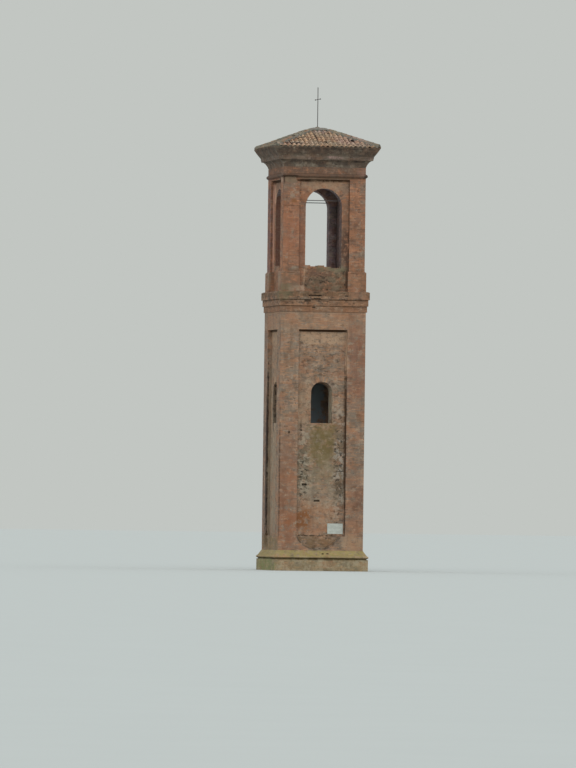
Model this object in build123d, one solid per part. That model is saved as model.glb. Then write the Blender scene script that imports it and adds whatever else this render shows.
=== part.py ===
from build123d import *
import os
from math import atan2, degrees, sqrt

# Square brick bell tower. Millimetres, +Z up, origin at the middle of the foot, front face towards -Y.

os.makedirs("parts", exist_ok=True)

# Plan sizes
plinth_side = 5080
plinth_lip = 20
shaft_side = 4600
shaft_pier_width = 970
shaft_recess = 210
belfry_side = 4440
belfry_pier_width = 845
belfry_recess = 200

# Heights of the stages, from the ground up
plinth_course_height = 610
plinth_joint_height = 60
plinth_lip_height = 130
plinth_slope_height = 290
base_band_height = 760
shaft_panel_height = 11030
head_band_height = 950
string_lower_height = 320
string_middle_height = 340
string_upper_height = 430
parapet_height = 1400
belfry_panel_height = 4580
belfry_band_height = 300
frieze_height = 360
cavetto_height = 370
fillet_height = 200
corona_height = 490

# Mouldings, each as its projection beyond the face below it
joint_depth = 60
string_lower_reach = 55
string_middle_reach = 110
string_upper_reach = 170
string_wash = 45
pedestal_height = 1080
pedestal_reach = 80
pedestal_ear = 60
pedestal_splay = 70
bead_reach = 90
bead_height = 200
cavetto_reach = 245
cavetto_bend_reach = 98
cavetto_bend_height = 222
fillet_reach = 80
fillet_flare = 40
corona_step = 10
corona_reach = 325
corona_belly_reach = 175
corona_belly_height = 245

# Openings
arch_width = 1980
arch_spring_rise = 3120
window_width = 1170
window_inner_width = 1040
window_sill_rise = 6040
window_height = 2210
blind_depth = 240

# Roof
eave_overhang = 15
eave_edge = 80
roof_rise = 1140
roof_thickness = 140
ridge_radius = 130
ridge_sink = 50
plate_width = 140
plate_height = 140
plate_from_axis = 1980
hip_width = 140
hip_depth = 200
post_width = 180
tie_beam_width = 160
tie_beam_height = 180
cap_plug = 600
cap_half = 550
cap_lap = 120

# Ironwork
rod_diameter = 40
rod_above_apex = 2090
rod_socket = 160
rod_tang_width = 28
arm_length = 320
arm_diameter = 30
arm_knob_diameter = 60
arm_knob_length = 50
arm_tilt = 12
arm_below_tip = 650
tie_bar_width = 40
tie_bar_rise = 330
tie_bar_seat = 120

# Belfry floor
beam_width = 180
beam_depth = 220
beam_seat = 150
beam_spacing = 900
board_thickness = 45
fit_gap = 5

# Plaque on the front
plaque_width = 845
plaque_height = 560
plaque_thickness = 40
plaque_offset = 815
plaque_rise = 130

# Scar: a bowl-shaped break in the top of the front base band, back to the plane of the panel
scar_width = 2330
scar_drop = 700
scar_offset = -145

# Levels
weathering_base = plinth_course_height
lip_base = weathering_base + plinth_joint_height
lip_top = lip_base + plinth_lip_height
weathering_top = lip_top + plinth_slope_height
shaft_panel_base = weathering_top + base_band_height
shaft_panel_top = shaft_panel_base + shaft_panel_height
string_base = shaft_panel_top + head_band_height
string_middle = string_base + string_lower_height
string_upper = string_middle + string_middle_height
belfry_base = string_upper + string_upper_height
belfry_sill = belfry_base + parapet_height
belfry_panel_top = belfry_sill + belfry_panel_height
frieze_base = belfry_panel_top + belfry_band_height
cornice_base = frieze_base + frieze_height
fillet_base = cornice_base + cavetto_height
corona_base = fillet_base + fillet_height
cornice_top = corona_base + corona_height
eave_top = cornice_top + eave_edge
apex = eave_top + roof_rise

# Half sides, from the axis
shaft_half = shaft_side / 2
shaft_inner = shaft_half - shaft_pier_width
shaft_panel_face = shaft_half - shaft_recess
belfry_half = belfry_side / 2
belfry_inner = belfry_half - belfry_pier_width
belfry_panel_face = belfry_half - belfry_recess
plinth_half = plinth_side / 2
fillet_low_half = belfry_half + cavetto_reach + fillet_reach
fillet_high_half = fillet_low_half + fillet_flare
corona_low_half = fillet_high_half - corona_step
corona_high_half = corona_low_half + corona_reach
eave_half = corona_high_half + eave_overhang
roof_slope = roof_rise / eave_half

QUARTERS = {"front": 0, "right": 90, "back": 180, "left": 270}
CORNERS = {"front_left": 0, "front_right": 90, "back_right": 180, "back_left": 270}


def block(x0, x1, y0, y1, z0, z1):
    """A plain block between two corners."""
    middle = Pos((x0 + x1) / 2, (y0 + y1) / 2, (z0 + z1) / 2)
    return middle * Box(x1 - x0, y1 - y0, z1 - z0)


def square_ring(outer_half, inner_half, z0, z1):
    """A square course of masonry with the tower's hollow through it."""
    outside = block(-outer_half, outer_half, -outer_half, outer_half, z0, z1)
    return outside - block(-inner_half, inner_half, -inner_half, inner_half, z0, z1)


def front_prism(outline, near, far):
    """Extrudes a closed outline, drawn on the XZ plane, from y = far forward to y = near."""
    face = Pos(0, far, 0) * make_face(Plane.XZ * outline)
    return extrude(face, amount=far - near, dir=(0, -1, 0))


def mitred_ring(profile, inner_half, z0, z1):
    """Runs a moulding profile, drawn as (distance from axis, z), round the four sides with mitred corners."""
    reach = 2 * eave_half
    course = extrude(make_face(Plane.XZ * profile), amount=reach, both=True)
    wedge = make_face(Polyline((0, 0), (reach, -reach), (reach, reach), close=True))
    side = course & Pos(0, 0, z0) * extrude(wedge, amount=z1 - z0)
    ring = side
    for turn in (90, 180, 270):
        ring += Rot(0, 0, turn) * side
    return ring - block(-inner_half, inner_half, -inner_half, inner_half, z0, z1)


def arch_outline(width, sill, springing):
    """A round-headed opening, as a closed outline on the XZ plane."""
    half = width / 2
    jambs = Polyline((half, springing), (half, sill), (-half, sill), (-half, springing))
    head = ThreePointArc((-half, springing), (0, springing + half), (half, springing))
    return jambs + head


def save(name, solid):
    """Writes one piece as parts/NAME.step, with its name as the label."""
    solid.label = name
    export_step(solid, f"parts/{name}.step")


def save_round(prefix, piece, turns):
    """Writes one copy of a piece at each turn about the axis."""
    for place, turn in turns.items():
        save(f"{prefix}_{place}", Rot(0, 0, turn) * piece)


# Plinth: a plain course and, over a shadow joint, a lip with a sloping top

def plinth_weathering():
    foot = plinth_half - joint_depth
    lip = plinth_half + plinth_lip
    nose = plinth_lip_height / 2
    joint = [(0, weathering_base), (foot, weathering_base), (foot, lip_base), (lip - nose, lip_base)]
    outline = Polyline(*joint)
    outline += ThreePointArc((lip - nose, lip_base), (lip, lip_base + nose), (lip - nose, lip_top))
    slope = [(lip - nose, lip_top), (shaft_half, weathering_top)]
    outline += Polyline(*slope, (0, weathering_top), (0, weathering_base))
    return mitred_ring(outline, shaft_inner, weathering_base, weathering_top)


# Shaft: four corner piers with a recessed panel wall between each two

def splayed_opening(sill, near, far):
    """A round-headed window that narrows from the wall's face at y = near to its inner side at y = far."""
    outlines = []
    for width, y in ((window_width, near), (window_inner_width, far)):
        springing = sill + window_height - window_width / 2
        outlines.append(Pos(0, y, 0) * make_face(Plane.XZ * arch_outline(width, sill, springing)))
    return loft(outlines, ruled=True)


def shaft_wall():
    """A plain panel wall between two piers."""
    inner = shaft_inner
    return block(-inner, inner, -shaft_panel_face, -inner, shaft_panel_base, shaft_panel_top)


def open_shaft_wall():
    sill = shaft_panel_base + window_sill_rise
    return shaft_wall() - splayed_opening(sill, -shaft_panel_face, -shaft_inner)


def blind_shaft_wall():
    """The back panel, whose window is walled up a little way in."""
    sill = shaft_panel_base + window_sill_rise
    niche = arch_outline(window_width, sill, sill + window_height - window_width / 2)
    return shaft_wall() - front_prism(niche, -shaft_half, blind_depth - shaft_panel_face)


# Holes of the scaffold and of fallen bricks: middle x, rise above the foot of the wall, width, height
panel_holes = [(-895, 2700, 270, 110), (-200, 1840, 320, 110), (-1090, 5590, 110, 110)]
string_holes = [(-500, 830, 710, 85), (-900, 520, 330, 130), (-390, 640, 380, 80), (-550, 160, 160, 90)]
hole_depth = 180


def hole_cutter(hole, base, face):
    middle, rise, width, height = hole
    left = middle - width / 2
    low = base + rise
    return block(left, left + width, -face - hole_depth, -face + hole_depth, low, low + height)


def front_shaft_wall():
    wall = open_shaft_wall()
    for hole in panel_holes:
        wall -= hole_cutter(hole, shaft_panel_base, shaft_panel_face)
    return wall


def shaft_base_band():
    """The band under the panels, with the bowl-shaped break in its front."""
    band = square_ring(shaft_half, shaft_inner, weathering_top, shaft_panel_base)
    left = scar_offset - scar_width / 2
    right = scar_offset + scar_width / 2
    bowl = Line((right, shaft_panel_base), (left, shaft_panel_base))
    bottom = (scar_offset, shaft_panel_base - scar_drop)
    bowl += ThreePointArc((left, shaft_panel_base), bottom, (right, shaft_panel_base))
    return band - front_prism(bowl, -plinth_half, -shaft_panel_face)


# String course: three fasciae, each standing out beyond the one below, with a sloping wash on top

def string_course():
    lower = shaft_half + string_lower_reach
    middle = shaft_half + string_middle_reach
    upper = shaft_half + string_upper_reach
    steps = [(0, string_base), (lower, string_base), (lower, string_middle), (middle, string_middle)]
    steps += [(middle, string_upper), (upper, string_upper), (upper, belfry_base - string_wash)]
    steps += [(upper - 2 * string_wash, belfry_base), (0, belfry_base)]
    ring = mitred_ring(Polyline(*steps, close=True), shaft_inner, string_base, belfry_base)
    for hole in string_holes:
        ring -= hole_cutter(hole, string_base, upper)
    for beam in floor_beam_solids(beam_seat, fit_gap):
        ring -= beam
    return ring


# Belfry floor: boards on three beams whose ends sit in pockets of the string course

def floor_beam_solids(seat, side_gap):
    half = shaft_inner + seat
    width = beam_width / 2 + side_gap
    low = belfry_base - beam_depth
    return [
        block(x - width, x + width, -half - side_gap, half + side_gap, low, belfry_base)
        for x in (-beam_spacing, 0, beam_spacing)
    ]


def belfry_floor():
    half = belfry_inner - fit_gap
    return block(-half, half, -half, half, belfry_base, belfry_base + board_thickness)


# Belfry: corner piers on pedestals, parapets, and arched walls between them

def belfry_pier_front_left():
    pier = block(-belfry_half, -belfry_inner, -belfry_half, -belfry_inner, belfry_base, belfry_panel_top)
    outer = belfry_half + pedestal_reach
    ear = belfry_inner - pedestal_ear
    top = belfry_base + pedestal_height
    foot = block(-outer, -ear, -outer, -belfry_panel_face, belfry_base, top)
    foot += block(-outer, -belfry_panel_face, -outer, -ear, belfry_base, top)
    rim = foot.edges().filter_by(Plane.XY).group_by(Axis.Z)[-1]
    outer_rim = [edge for edge in rim if round(min(edge.center().X, edge.center().Y)) == -outer]
    return pier + chamfer(outer_rim, pedestal_splay)


# Worn crest of the parapet between the jambs: where each broken course ends, and its drop below the sill
crest = [(-700, 0), (-310, 60), (60, 20), (430, 80), (arch_width / 2, 140)]


def parapet():
    inner = belfry_inner
    wall = block(-inner, inner, -belfry_panel_face, -inner, belfry_base, belfry_sill)
    left = -arch_width / 2
    for right, drop in crest:
        if drop:
            wall -= block(left, right, -belfry_half, 0, belfry_sill - drop, belfry_sill)
        left = right
    return wall


def belfry_arch():
    inner = belfry_inner
    wall = block(-inner, inner, -belfry_panel_face, -inner, belfry_sill, belfry_panel_top)
    springing = belfry_sill + arch_spring_rise
    wall -= front_prism(arch_outline(arch_width, belfry_sill, springing), -belfry_half, 0)
    return wall - tie_bar()


def tie_bar():
    """An iron tie across the arch, with its ends let into the jambs."""
    half = arch_width / 2 + tie_bar_seat
    near = -(belfry_panel_face + belfry_inner + tie_bar_width) / 2
    low = belfry_sill + arch_spring_rise + tie_bar_rise
    return block(-half, half, near, near + tie_bar_width, low, low + tie_bar_width)


def belfry_band():
    """The course over the recessed panels, with a half-round bead below the frieze."""
    bead_base = frieze_base - bead_height
    nose = (belfry_half + bead_reach, frieze_base - bead_height / 2)
    outline = Polyline((0, belfry_panel_top), (belfry_half, belfry_panel_top), (belfry_half, bead_base))
    outline += ThreePointArc((belfry_half, bead_base), nose, (belfry_half, frieze_base))
    outline += Polyline((belfry_half, frieze_base), (0, frieze_base), (0, belfry_panel_top))
    return mitred_ring(outline, belfry_inner, belfry_panel_top, frieze_base)


# Cornice: a hollow bed moulding, then a fillet and a flaring corona

def cornice_bed():
    edge = belfry_half + cavetto_reach
    bend = (belfry_half + cavetto_bend_reach, cornice_base + cavetto_bend_height)
    outline = Line((0, cornice_base), (belfry_half, cornice_base))
    outline += ThreePointArc((belfry_half, cornice_base), bend, (edge, fillet_base))
    outline += Polyline((edge, fillet_base), (0, fillet_base), (0, cornice_base))
    return mitred_ring(outline, belfry_inner, cornice_base, fillet_base)


def cornice_corona():
    belly = (corona_low_half + corona_belly_reach, corona_base + corona_belly_height)
    outline = Polyline((0, fillet_base), (fillet_low_half, fillet_base), (fillet_high_half, corona_base))
    outline += Line((fillet_high_half, corona_base), (corona_low_half, corona_base))
    outline += ThreePointArc((corona_low_half, corona_base), belly, (corona_high_half, cornice_top))
    outline += Polyline((corona_high_half, cornice_top), (0, cornice_top), (0, fillet_base))
    return mitred_ring(outline, belfry_inner, fillet_base, cornice_top)


# Roof: four mitred slopes on hip rafters, a wall plate, a king post and a tie beam

def pyramid(half, base, peak):
    """A square pyramid with its base at z = base."""
    triangle = make_face(Plane.XZ * Polyline((-half, base), (half, base), (0, peak), close=True))
    one_way = extrude(triangle, amount=half, both=True)
    return one_way & Rot(0, 0, 90) * one_way


def under_roof():
    """The space below the underside of the slopes."""
    inset = (roof_thickness - eave_edge) / roof_slope
    return pyramid(eave_half - inset, cornice_top, apex - roof_thickness)


def over_roof():
    """The pyramid below the tops of the slopes."""
    return pyramid(eave_half, eave_top, apex)


def cap_well():
    """The square opening at the top of the slopes, which the cap plugs."""
    half = cap_plug / 2
    return block(-half, half, -half, half, cornice_top, apex)


def roof_slope_front():
    slab = block(-eave_half, eave_half, -eave_half, eave_half, cornice_top, eave_top)
    whole = slab + over_roof() - under_roof() - cap_well()
    reach = 2 * eave_half
    wedge = make_face(Polyline((0, 0), (-reach, -reach), (reach, -reach), close=True))
    return whole & Pos(0, 0, cornice_top) * extrude(wedge, amount=2 * roof_rise)


# Crown of the cap's mortar, flattened round the rod: distance from the axis, and height above the slopes there
cap_crown = [(420, 50), (300, 33), (150, -20), (50, -50)]


def apex_cap():
    """A low hump of mortar over the point where the hips meet, bored for the rod."""
    flank = [(cap_half, apex - cap_half * roof_slope)]
    flank += [(x, apex - x * roof_slope + rise) for x, rise in cap_crown]
    outline = flank + [(-x, z) for x, z in reversed(flank)]
    one_way = extrude(make_face(Plane.XZ * Polyline(*outline, close=True)), amount=eave_half, both=True)
    hump = one_way & Rot(0, 0, 90) * one_way
    hump -= over_roof() - cap_well()
    half = cap_plug / 2
    seat = apex - half * roof_slope
    plug = block(-half, half, -half, half, seat - roof_thickness, seat)
    bore = Pos(0, 0, apex) * Cylinder(rod_diameter / 2 + fit_gap, roof_rise)
    return hump + plug - under_roof() - bore


def hip_ridge():
    """The half-round ridge over one hip, from the eave up to the cap."""
    fall = degrees(atan2(roof_slope, sqrt(2)))
    pole = Rot(0, 90 + fall, 0) * Cylinder(ridge_radius, 4 * eave_half)
    ridge = Rot(0, 0, -45) * Pos(0, 0, apex - ridge_sink) * pole
    side = eave_half - fit_gap
    ridge &= block(0, side, -side, 0, eave_top, apex)
    lap = cap_half - cap_lap
    return ridge - over_roof() - apex_cap() - block(-lap, lap, -lap, lap, eave_top, apex)


def wall_plate():
    outer = plate_from_axis + plate_width
    return square_ring(outer, plate_from_axis, cornice_top, cornice_top + plate_height)


def tie_beam():
    width = tie_beam_width / 2
    return block(-plate_from_axis, plate_from_axis, -width, width, cornice_top, cornice_top + tie_beam_height)


def king_post_shape():
    """The post turned a quarter way, so that a hip butts against each of its faces."""
    half = post_width / 2
    post = block(-half, half, -half, half, cornice_top + tie_beam_height, apex)
    return Rot(0, 0, 45) * post & under_roof()


def king_post():
    return king_post_shape() - rod_tang()


def hip_rafter():
    """A rafter on one diagonal, backed to both slopes and notched over the wall plate."""
    peak = apex - roof_thickness
    run = (peak - cornice_top) / roof_slope * sqrt(2)
    heel = run * hip_depth / (peak - cornice_top)
    side = [(0, peak), (run, cornice_top), (run - heel, cornice_top), (0, peak - hip_depth)]
    timber = extrude(make_face(Plane.XZ * Polyline(*side, close=True)), amount=hip_width / 2, both=True)
    foot = plate_from_axis + plate_width
    trim = block(-foot, foot, -foot, foot, cornice_top, apex)
    return (Rot(0, 0, -45) * timber & under_roof() & trim) - wall_plate() - king_post_shape()


# Ironwork

def rod_tang():
    """The square tang of the rod, in the head of the king post."""
    half = rod_tang_width / 2
    top = apex - roof_thickness
    return block(-half, half, -half, half, top - rod_socket, top)


def finial_rod():
    """A plain upright rod with a short crossarm, knocked askew, that ends in two knobs."""
    tip = apex + rod_above_apex
    foot = apex - roof_thickness
    shank = Pos(0, 0, (foot + tip) / 2) * Cylinder(rod_diameter / 2, tip - foot)
    arm = Cylinder(arm_diameter / 2, arm_length)
    for end in (-1, 1):
        knob = Cylinder(arm_knob_diameter / 2, arm_knob_length)
        arm += Pos(0, 0, end * (arm_length - arm_knob_length) / 2) * knob
    return shank + Pos(0, 0, tip - arm_below_tip) * Rot(0, 90 - arm_tilt, 0) * arm + rod_tang()


def plaque():
    low = shaft_panel_base + plaque_rise
    half = plaque_width / 2
    slab = block(
        plaque_offset - half,
        plaque_offset + half,
        -shaft_panel_face - plaque_thickness,
        -shaft_panel_face,
        low,
        low + plaque_height,
    )
    face = slab.faces().sort_by(Axis.Y)[0]
    return chamfer(face.edges(), plaque_thickness / 5)


def four(piece):
    """A piece and its three copies round the axis, as solids that don't touch."""
    return Compound(children=[Rot(0, 0, turn) * piece for turn in QUARTERS.values()])


save("plinth_course", square_ring(plinth_half, shaft_inner, 0, plinth_course_height))
save("plinth_weathering", plinth_weathering())
save("shaft_base_band", shaft_base_band())
pier = block(-shaft_half, -shaft_inner, -shaft_half, -shaft_inner, shaft_panel_base, shaft_panel_top)
save_round("shaft_pier", pier, CORNERS)
side_wall = open_shaft_wall()
shaft_walls = {"front": front_shaft_wall(), "right": side_wall, "back": blind_shaft_wall(), "left": side_wall}
for place, wall in shaft_walls.items():
    save(f"shaft_wall_{place}", Rot(0, 0, QUARTERS[place]) * wall)
save("shaft_head_band", square_ring(shaft_half, shaft_inner, shaft_panel_top, string_base))
save("string_course", string_course())
save("floor_beams", Compound(children=floor_beam_solids(beam_seat, 0)))
save("belfry_floor", belfry_floor())
save_round("belfry_pier", belfry_pier_front_left(), CORNERS)
save_round("parapet", parapet(), QUARTERS)
save_round("belfry_arch", belfry_arch(), QUARTERS)
save("tie_bars", four(tie_bar()))
save("belfry_band", belfry_band())
save("frieze", square_ring(belfry_half, belfry_inner, frieze_base, cornice_base))
save("cornice_bed", cornice_bed())
save("cornice_corona", cornice_corona())
save_round("roof_slope", roof_slope_front(), QUARTERS)
save("hip_ridges", four(hip_ridge()))
save("wall_plate", wall_plate())
save("tie_beam", tie_beam())
save("king_post", king_post())
save("hip_rafters", four(hip_rafter()))
save("apex_cap", apex_cap())
save("finial_rod", finial_rod())
save("plaque", plaque())
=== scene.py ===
# %% [markdown]
# # A brick bell tower
#
# The imported frame holds the tower as plain solids: walls, piers, mouldings, roof slopes and ironwork.
# On the real tower the walls are laid in thin handmade bricks and the roof in clay barrel tiles, and rain,
# soot and lichen have coloured each stretch of wall in its own way. A drawn texture on the solids would look
# flat at every corner, so this script lays each brick and tile as real geometry over them. The materials
# then share a few shader groups, which give the clay its colours and lay the weather over it, together with
# painted shade under ledges and in recesses and a little painted light.

# %% Load the frame
import math
from types import SimpleNamespace

import bmesh
import bpy
import numpy as np
from mathutils import Matrix, Vector


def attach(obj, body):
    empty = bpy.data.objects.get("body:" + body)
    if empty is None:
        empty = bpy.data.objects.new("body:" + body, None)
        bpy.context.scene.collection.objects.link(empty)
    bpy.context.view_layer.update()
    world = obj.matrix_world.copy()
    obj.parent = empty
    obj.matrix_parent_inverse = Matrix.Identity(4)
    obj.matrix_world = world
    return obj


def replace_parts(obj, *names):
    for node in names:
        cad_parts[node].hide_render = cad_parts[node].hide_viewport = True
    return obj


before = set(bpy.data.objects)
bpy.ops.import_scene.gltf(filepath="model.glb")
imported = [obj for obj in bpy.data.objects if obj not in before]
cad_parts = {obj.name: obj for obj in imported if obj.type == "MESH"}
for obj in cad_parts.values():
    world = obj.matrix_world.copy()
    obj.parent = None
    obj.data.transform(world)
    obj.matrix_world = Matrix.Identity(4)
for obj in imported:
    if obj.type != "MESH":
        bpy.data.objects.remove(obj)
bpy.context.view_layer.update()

# %% [markdown]
# ## Where the camera stands
#
# The photograph was taken from far away with a long lens, a little to the left of the front and near the
# ground. An orthographic camera would come close, but would show the near and the far iron ties at one
# height. So a perspective camera stands far off, and its lens follows from the metres that one pixel covers
# near the front face. It aims with a rotation only, with no shift, and rolls a little, as the picture leans.

# %% Camera
PICTURE_HIGH = 768
METRES_PER_PIXEL = 0.0535
SCALE_PLANE = 1.1
SENSOR = 36.0
DISTANCE, EYE_HEIGHT = 440.0, 3.0
AZIMUTH, ROLL = math.radians(11.25), math.radians(0.75)
AIM_LEFT, AIM_HEIGHT = 1.405, 9.99

camera_data = bpy.data.cameras.new("long_lens")
camera_data.sensor_fit = "VERTICAL"
camera_data.sensor_height = SENSOR
camera_data.lens = SENSOR / (PICTURE_HIGH * METRES_PER_PIXEL) * (DISTANCE - SCALE_PLANE)
camera_data.clip_start = 10
camera_data.clip_end = 5000
camera = bpy.data.objects.new("long_lens", camera_data)
bpy.context.scene.collection.objects.link(camera)
bpy.context.scene.camera = camera

eye = Vector((-math.sin(AZIMUTH) * DISTANCE, -math.cos(AZIMUTH) * DISTANCE, EYE_HEIGHT))
rightwards = Vector((math.cos(AZIMUTH), -math.sin(AZIMUTH), 0))
target = Vector((0, 0, AIM_HEIGHT)) - rightwards * AIM_LEFT
aim = (target - eye).to_track_quat("-Z", "Y").to_matrix().to_4x4()
camera.matrix_world = Matrix.Translation(eye) @ aim @ Matrix.Rotation(ROLL, 4, "Z")
print("lens:", round(camera_data.lens, 1), "mm")

# %% [markdown]
# ## Sides of a square tower
#
# The four sides differ only in their wear. Array or mirror modifiers could repeat one side, but then all
# would have the same bricks and breaks. So everything is drawn for the front and turned by quarters, and
# each side is laid anew.

# %% Turning to a side
SIDES = ("front", "right", "back", "left")


def turned(side, x, y, z):
    """A point of the front, turned to another side, as an array that ends in x, y, z."""
    quarter = SIDES.index(side)
    cos = (1, 0, -1, 0)[quarter]
    sin = (0, 1, 0, -1)[quarter]
    x, y, z = np.broadcast_arrays(x, y, z)
    return np.stack([cos * x - sin * y, sin * x + cos * y, z], -1)


for side in SIDES:
    print(side, "looks towards", turned(side, 0, -1, 0)[:2])

# %% [markdown]
# ## Places on a wall
#
# The walls of the tower are plumb, but its plinth leans in and its cornice flares out. Each could have its
# own bricks bent by a curve modifier. Here a spot on a wall is given by u along it, v up its outline and d
# out of it instead, so that one way of laying bricks works on every outline.

# %% A run of wall along a side
class Run:
    """A run of wall or moulding along one side, given by its outline as (distance from the axis, height)."""

    def __init__(self, side, outline):
        self.side = side
        self.outline = np.array(outline, float)
        steps = np.diff(self.outline, axis=0)
        lengths = np.hypot(steps[:, 0], steps[:, 1])
        self.along = np.concatenate([[0], np.cumsum(lengths)])
        out = np.stack([steps[:, 1], -steps[:, 0]], 1) / lengths[:, None]
        bends = np.concatenate([out[:1], (out[:-1] + out[1:]) / 2, out[-1:]])
        self.out = bends / np.linalg.norm(bends, axis=1)[:, None]
        self.length = self.along[-1]

    def reach(self, v):
        return np.interp(v, self.along, self.outline[:, 0])

    def lean(self, v):
        return np.interp(v, self.along, self.out[:, 0])

    def place(self, u, v, d):
        r = self.reach(v) + self.lean(v) * d
        z = np.interp(v, self.along, self.outline[:, 1]) + np.interp(v, self.along, self.out[:, 1]) * d
        return turned(self.side, u, -r, z)


def upright(side, r, low, high):
    """A plumb face, whose v is the height above its foot."""
    return Run(side, [(r, low), (r, high)])


TALL = 30


def from_ground(side, r):
    """A plumb face whose v is the height above the ground, however tall the tower is."""
    return upright(side, r, 0, TALL)


print("three metres up the front:", from_ground("front", 2.0).place(0, 3, 0))

# %% [markdown]
# ## Faces that are no run of wall
#
# Some brick faces look along the wall or down: the sides of a recess, the jambs of a window, the inside of
# the bell chamber and the underside of an arch. An extruded plan would make them, but without bricks. So
# each kind of face says on its own where u, v and d lead.

# %% Cheeks, linings and soffits
class Cheek:
    """A narrow upright face that looks along the wall, such as a recess's side or a jamb. u runs inward."""

    def __init__(self, side, x, looks, near, splay=0.0):
        self.side, self.x, self.looks, self.near, self.splay = side, x, looks, near, splay

    def place(self, u, v, d):
        inward = u * self.looks
        return turned(self.side, self.x + self.looks * (d + self.splay * inward), inward - self.near, v)


class Lining:
    """The inner face of a wall, seen from inside the tower, so that u runs from right to left."""

    def __init__(self, side, half):
        self.side, self.half = side, half

    def place(self, u, v, d):
        return turned(self.side, -u, d - self.half, v)


class Soffit:
    """The underside of a round arch. u runs inward, and v up from the left springing and over."""

    def __init__(self, side, radius, near, springing, splay=0.0):
        self.side, self.radius, self.near, self.springing, self.splay = side, radius, near, springing, splay

    def place(self, u, v, d):
        turn = math.pi - v / self.radius
        r = self.radius - d - self.splay * u
        return turned(self.side, r * np.cos(turn), u - self.near, self.springing + r * np.sin(turn))


print("the crown of an arch:", Soffit("front", 1.0, 2.0, 10.0).place(0, math.pi / 2, 0).round(3))

# %% [markdown]
# ## Many bricks, few pieces
#
# The tower shows tens of thousands of bricks, no two of the same colour. One object for each would make
# Blender crawl. So the bricks of a stretch of wall are joined into one mesh, and three random tones for each
# brick go into a colour attribute that the clay's material reads. The random numbers start from a fixed
# seed, so each run gives the same tower.

# %% Tones and pieces
SEED = 41
chance = np.random.default_rng(SEED)


def give_tones(mesh, tones):
    """Keeps three tones for each point of a mesh, where the clay's material can read them."""
    layer = mesh.attributes.new("brick", "FLOAT_COLOR", "POINT")
    layer.data.foreach_set("color", np.concatenate([tones, np.ones((len(tones), 1))], 1).ravel())


def new_mesh(name, points, faces):
    mesh = bpy.data.meshes.new(name)
    mesh.from_pydata(points, [], faces)
    return mesh


def put_up(name, mesh, material):
    """Sets a finished mesh on the tower's one body, with its material."""
    mesh.materials.append(material)
    piece = bpy.data.objects.new(name, mesh)
    bpy.context.scene.collection.objects.link(piece)
    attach(piece, "root")
    print(name, "polygons:", len(mesh.polygons))
    return piece


print("first number of the seed:", round(np.random.default_rng(SEED).random(), 3))

# %% [markdown]
# ## One brick
#
# The bricks are about 28 by 13.5 by 6 cm, with joints of one centimetre. Rain has rounded them, so each is
# a slab that stands a few millimetres out of the mortar with sloping sides and slightly uneven corners.
# A bevelled cube would cost ten times the faces, and a bump map would leave the corners straight. Ten
# triangles a brick are enough, because it is the joints and the uneven tones that read from afar.

# %% The faces of one brick
JOINT = 0.010
PROUD = 0.007
WORN = 0.0035
UNEVEN = 0.0012
SUNK = 0.003


def unit(vectors):
    return vectors / np.maximum(np.linalg.norm(vectors, axis=-1, keepdims=True), 1e-9)


def slab_faces(rungs):
    """The quads of one brick, whose base and front are both ladders with this many rungs."""
    front, last = 2 * rungs, 2 * (rungs - 1)
    quads = []
    for a in range(0, last, 2):
        quads.append((front + a, front + a + 1, front + a + 3, front + a + 2))
        quads.append((a + 2, a, front + a, front + a + 2))
        quads.append((a + 1, a + 3, front + a + 3, front + a + 1))
    quads.append((0, 1, front + 1, front))
    quads.append((last + 1, last, front + last, front + last + 1))
    return np.array(quads)


print("quads on a straight brick:", len(slab_faces(2)), "and on a curved one:", len(slab_faces(7)))

# %% [markdown]
# ## Bricks gathered into one mesh
#
# A brick that turns a corner shows two faces. Whole bricks would give that, but most of each would be buried
# in the wall. So where two faces meet at an arris, both slabs grow to the same mitre line, and the two look
# like one brick. The slabs are worked out a course at a time with numpy, which is much faster than a loop.

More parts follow.
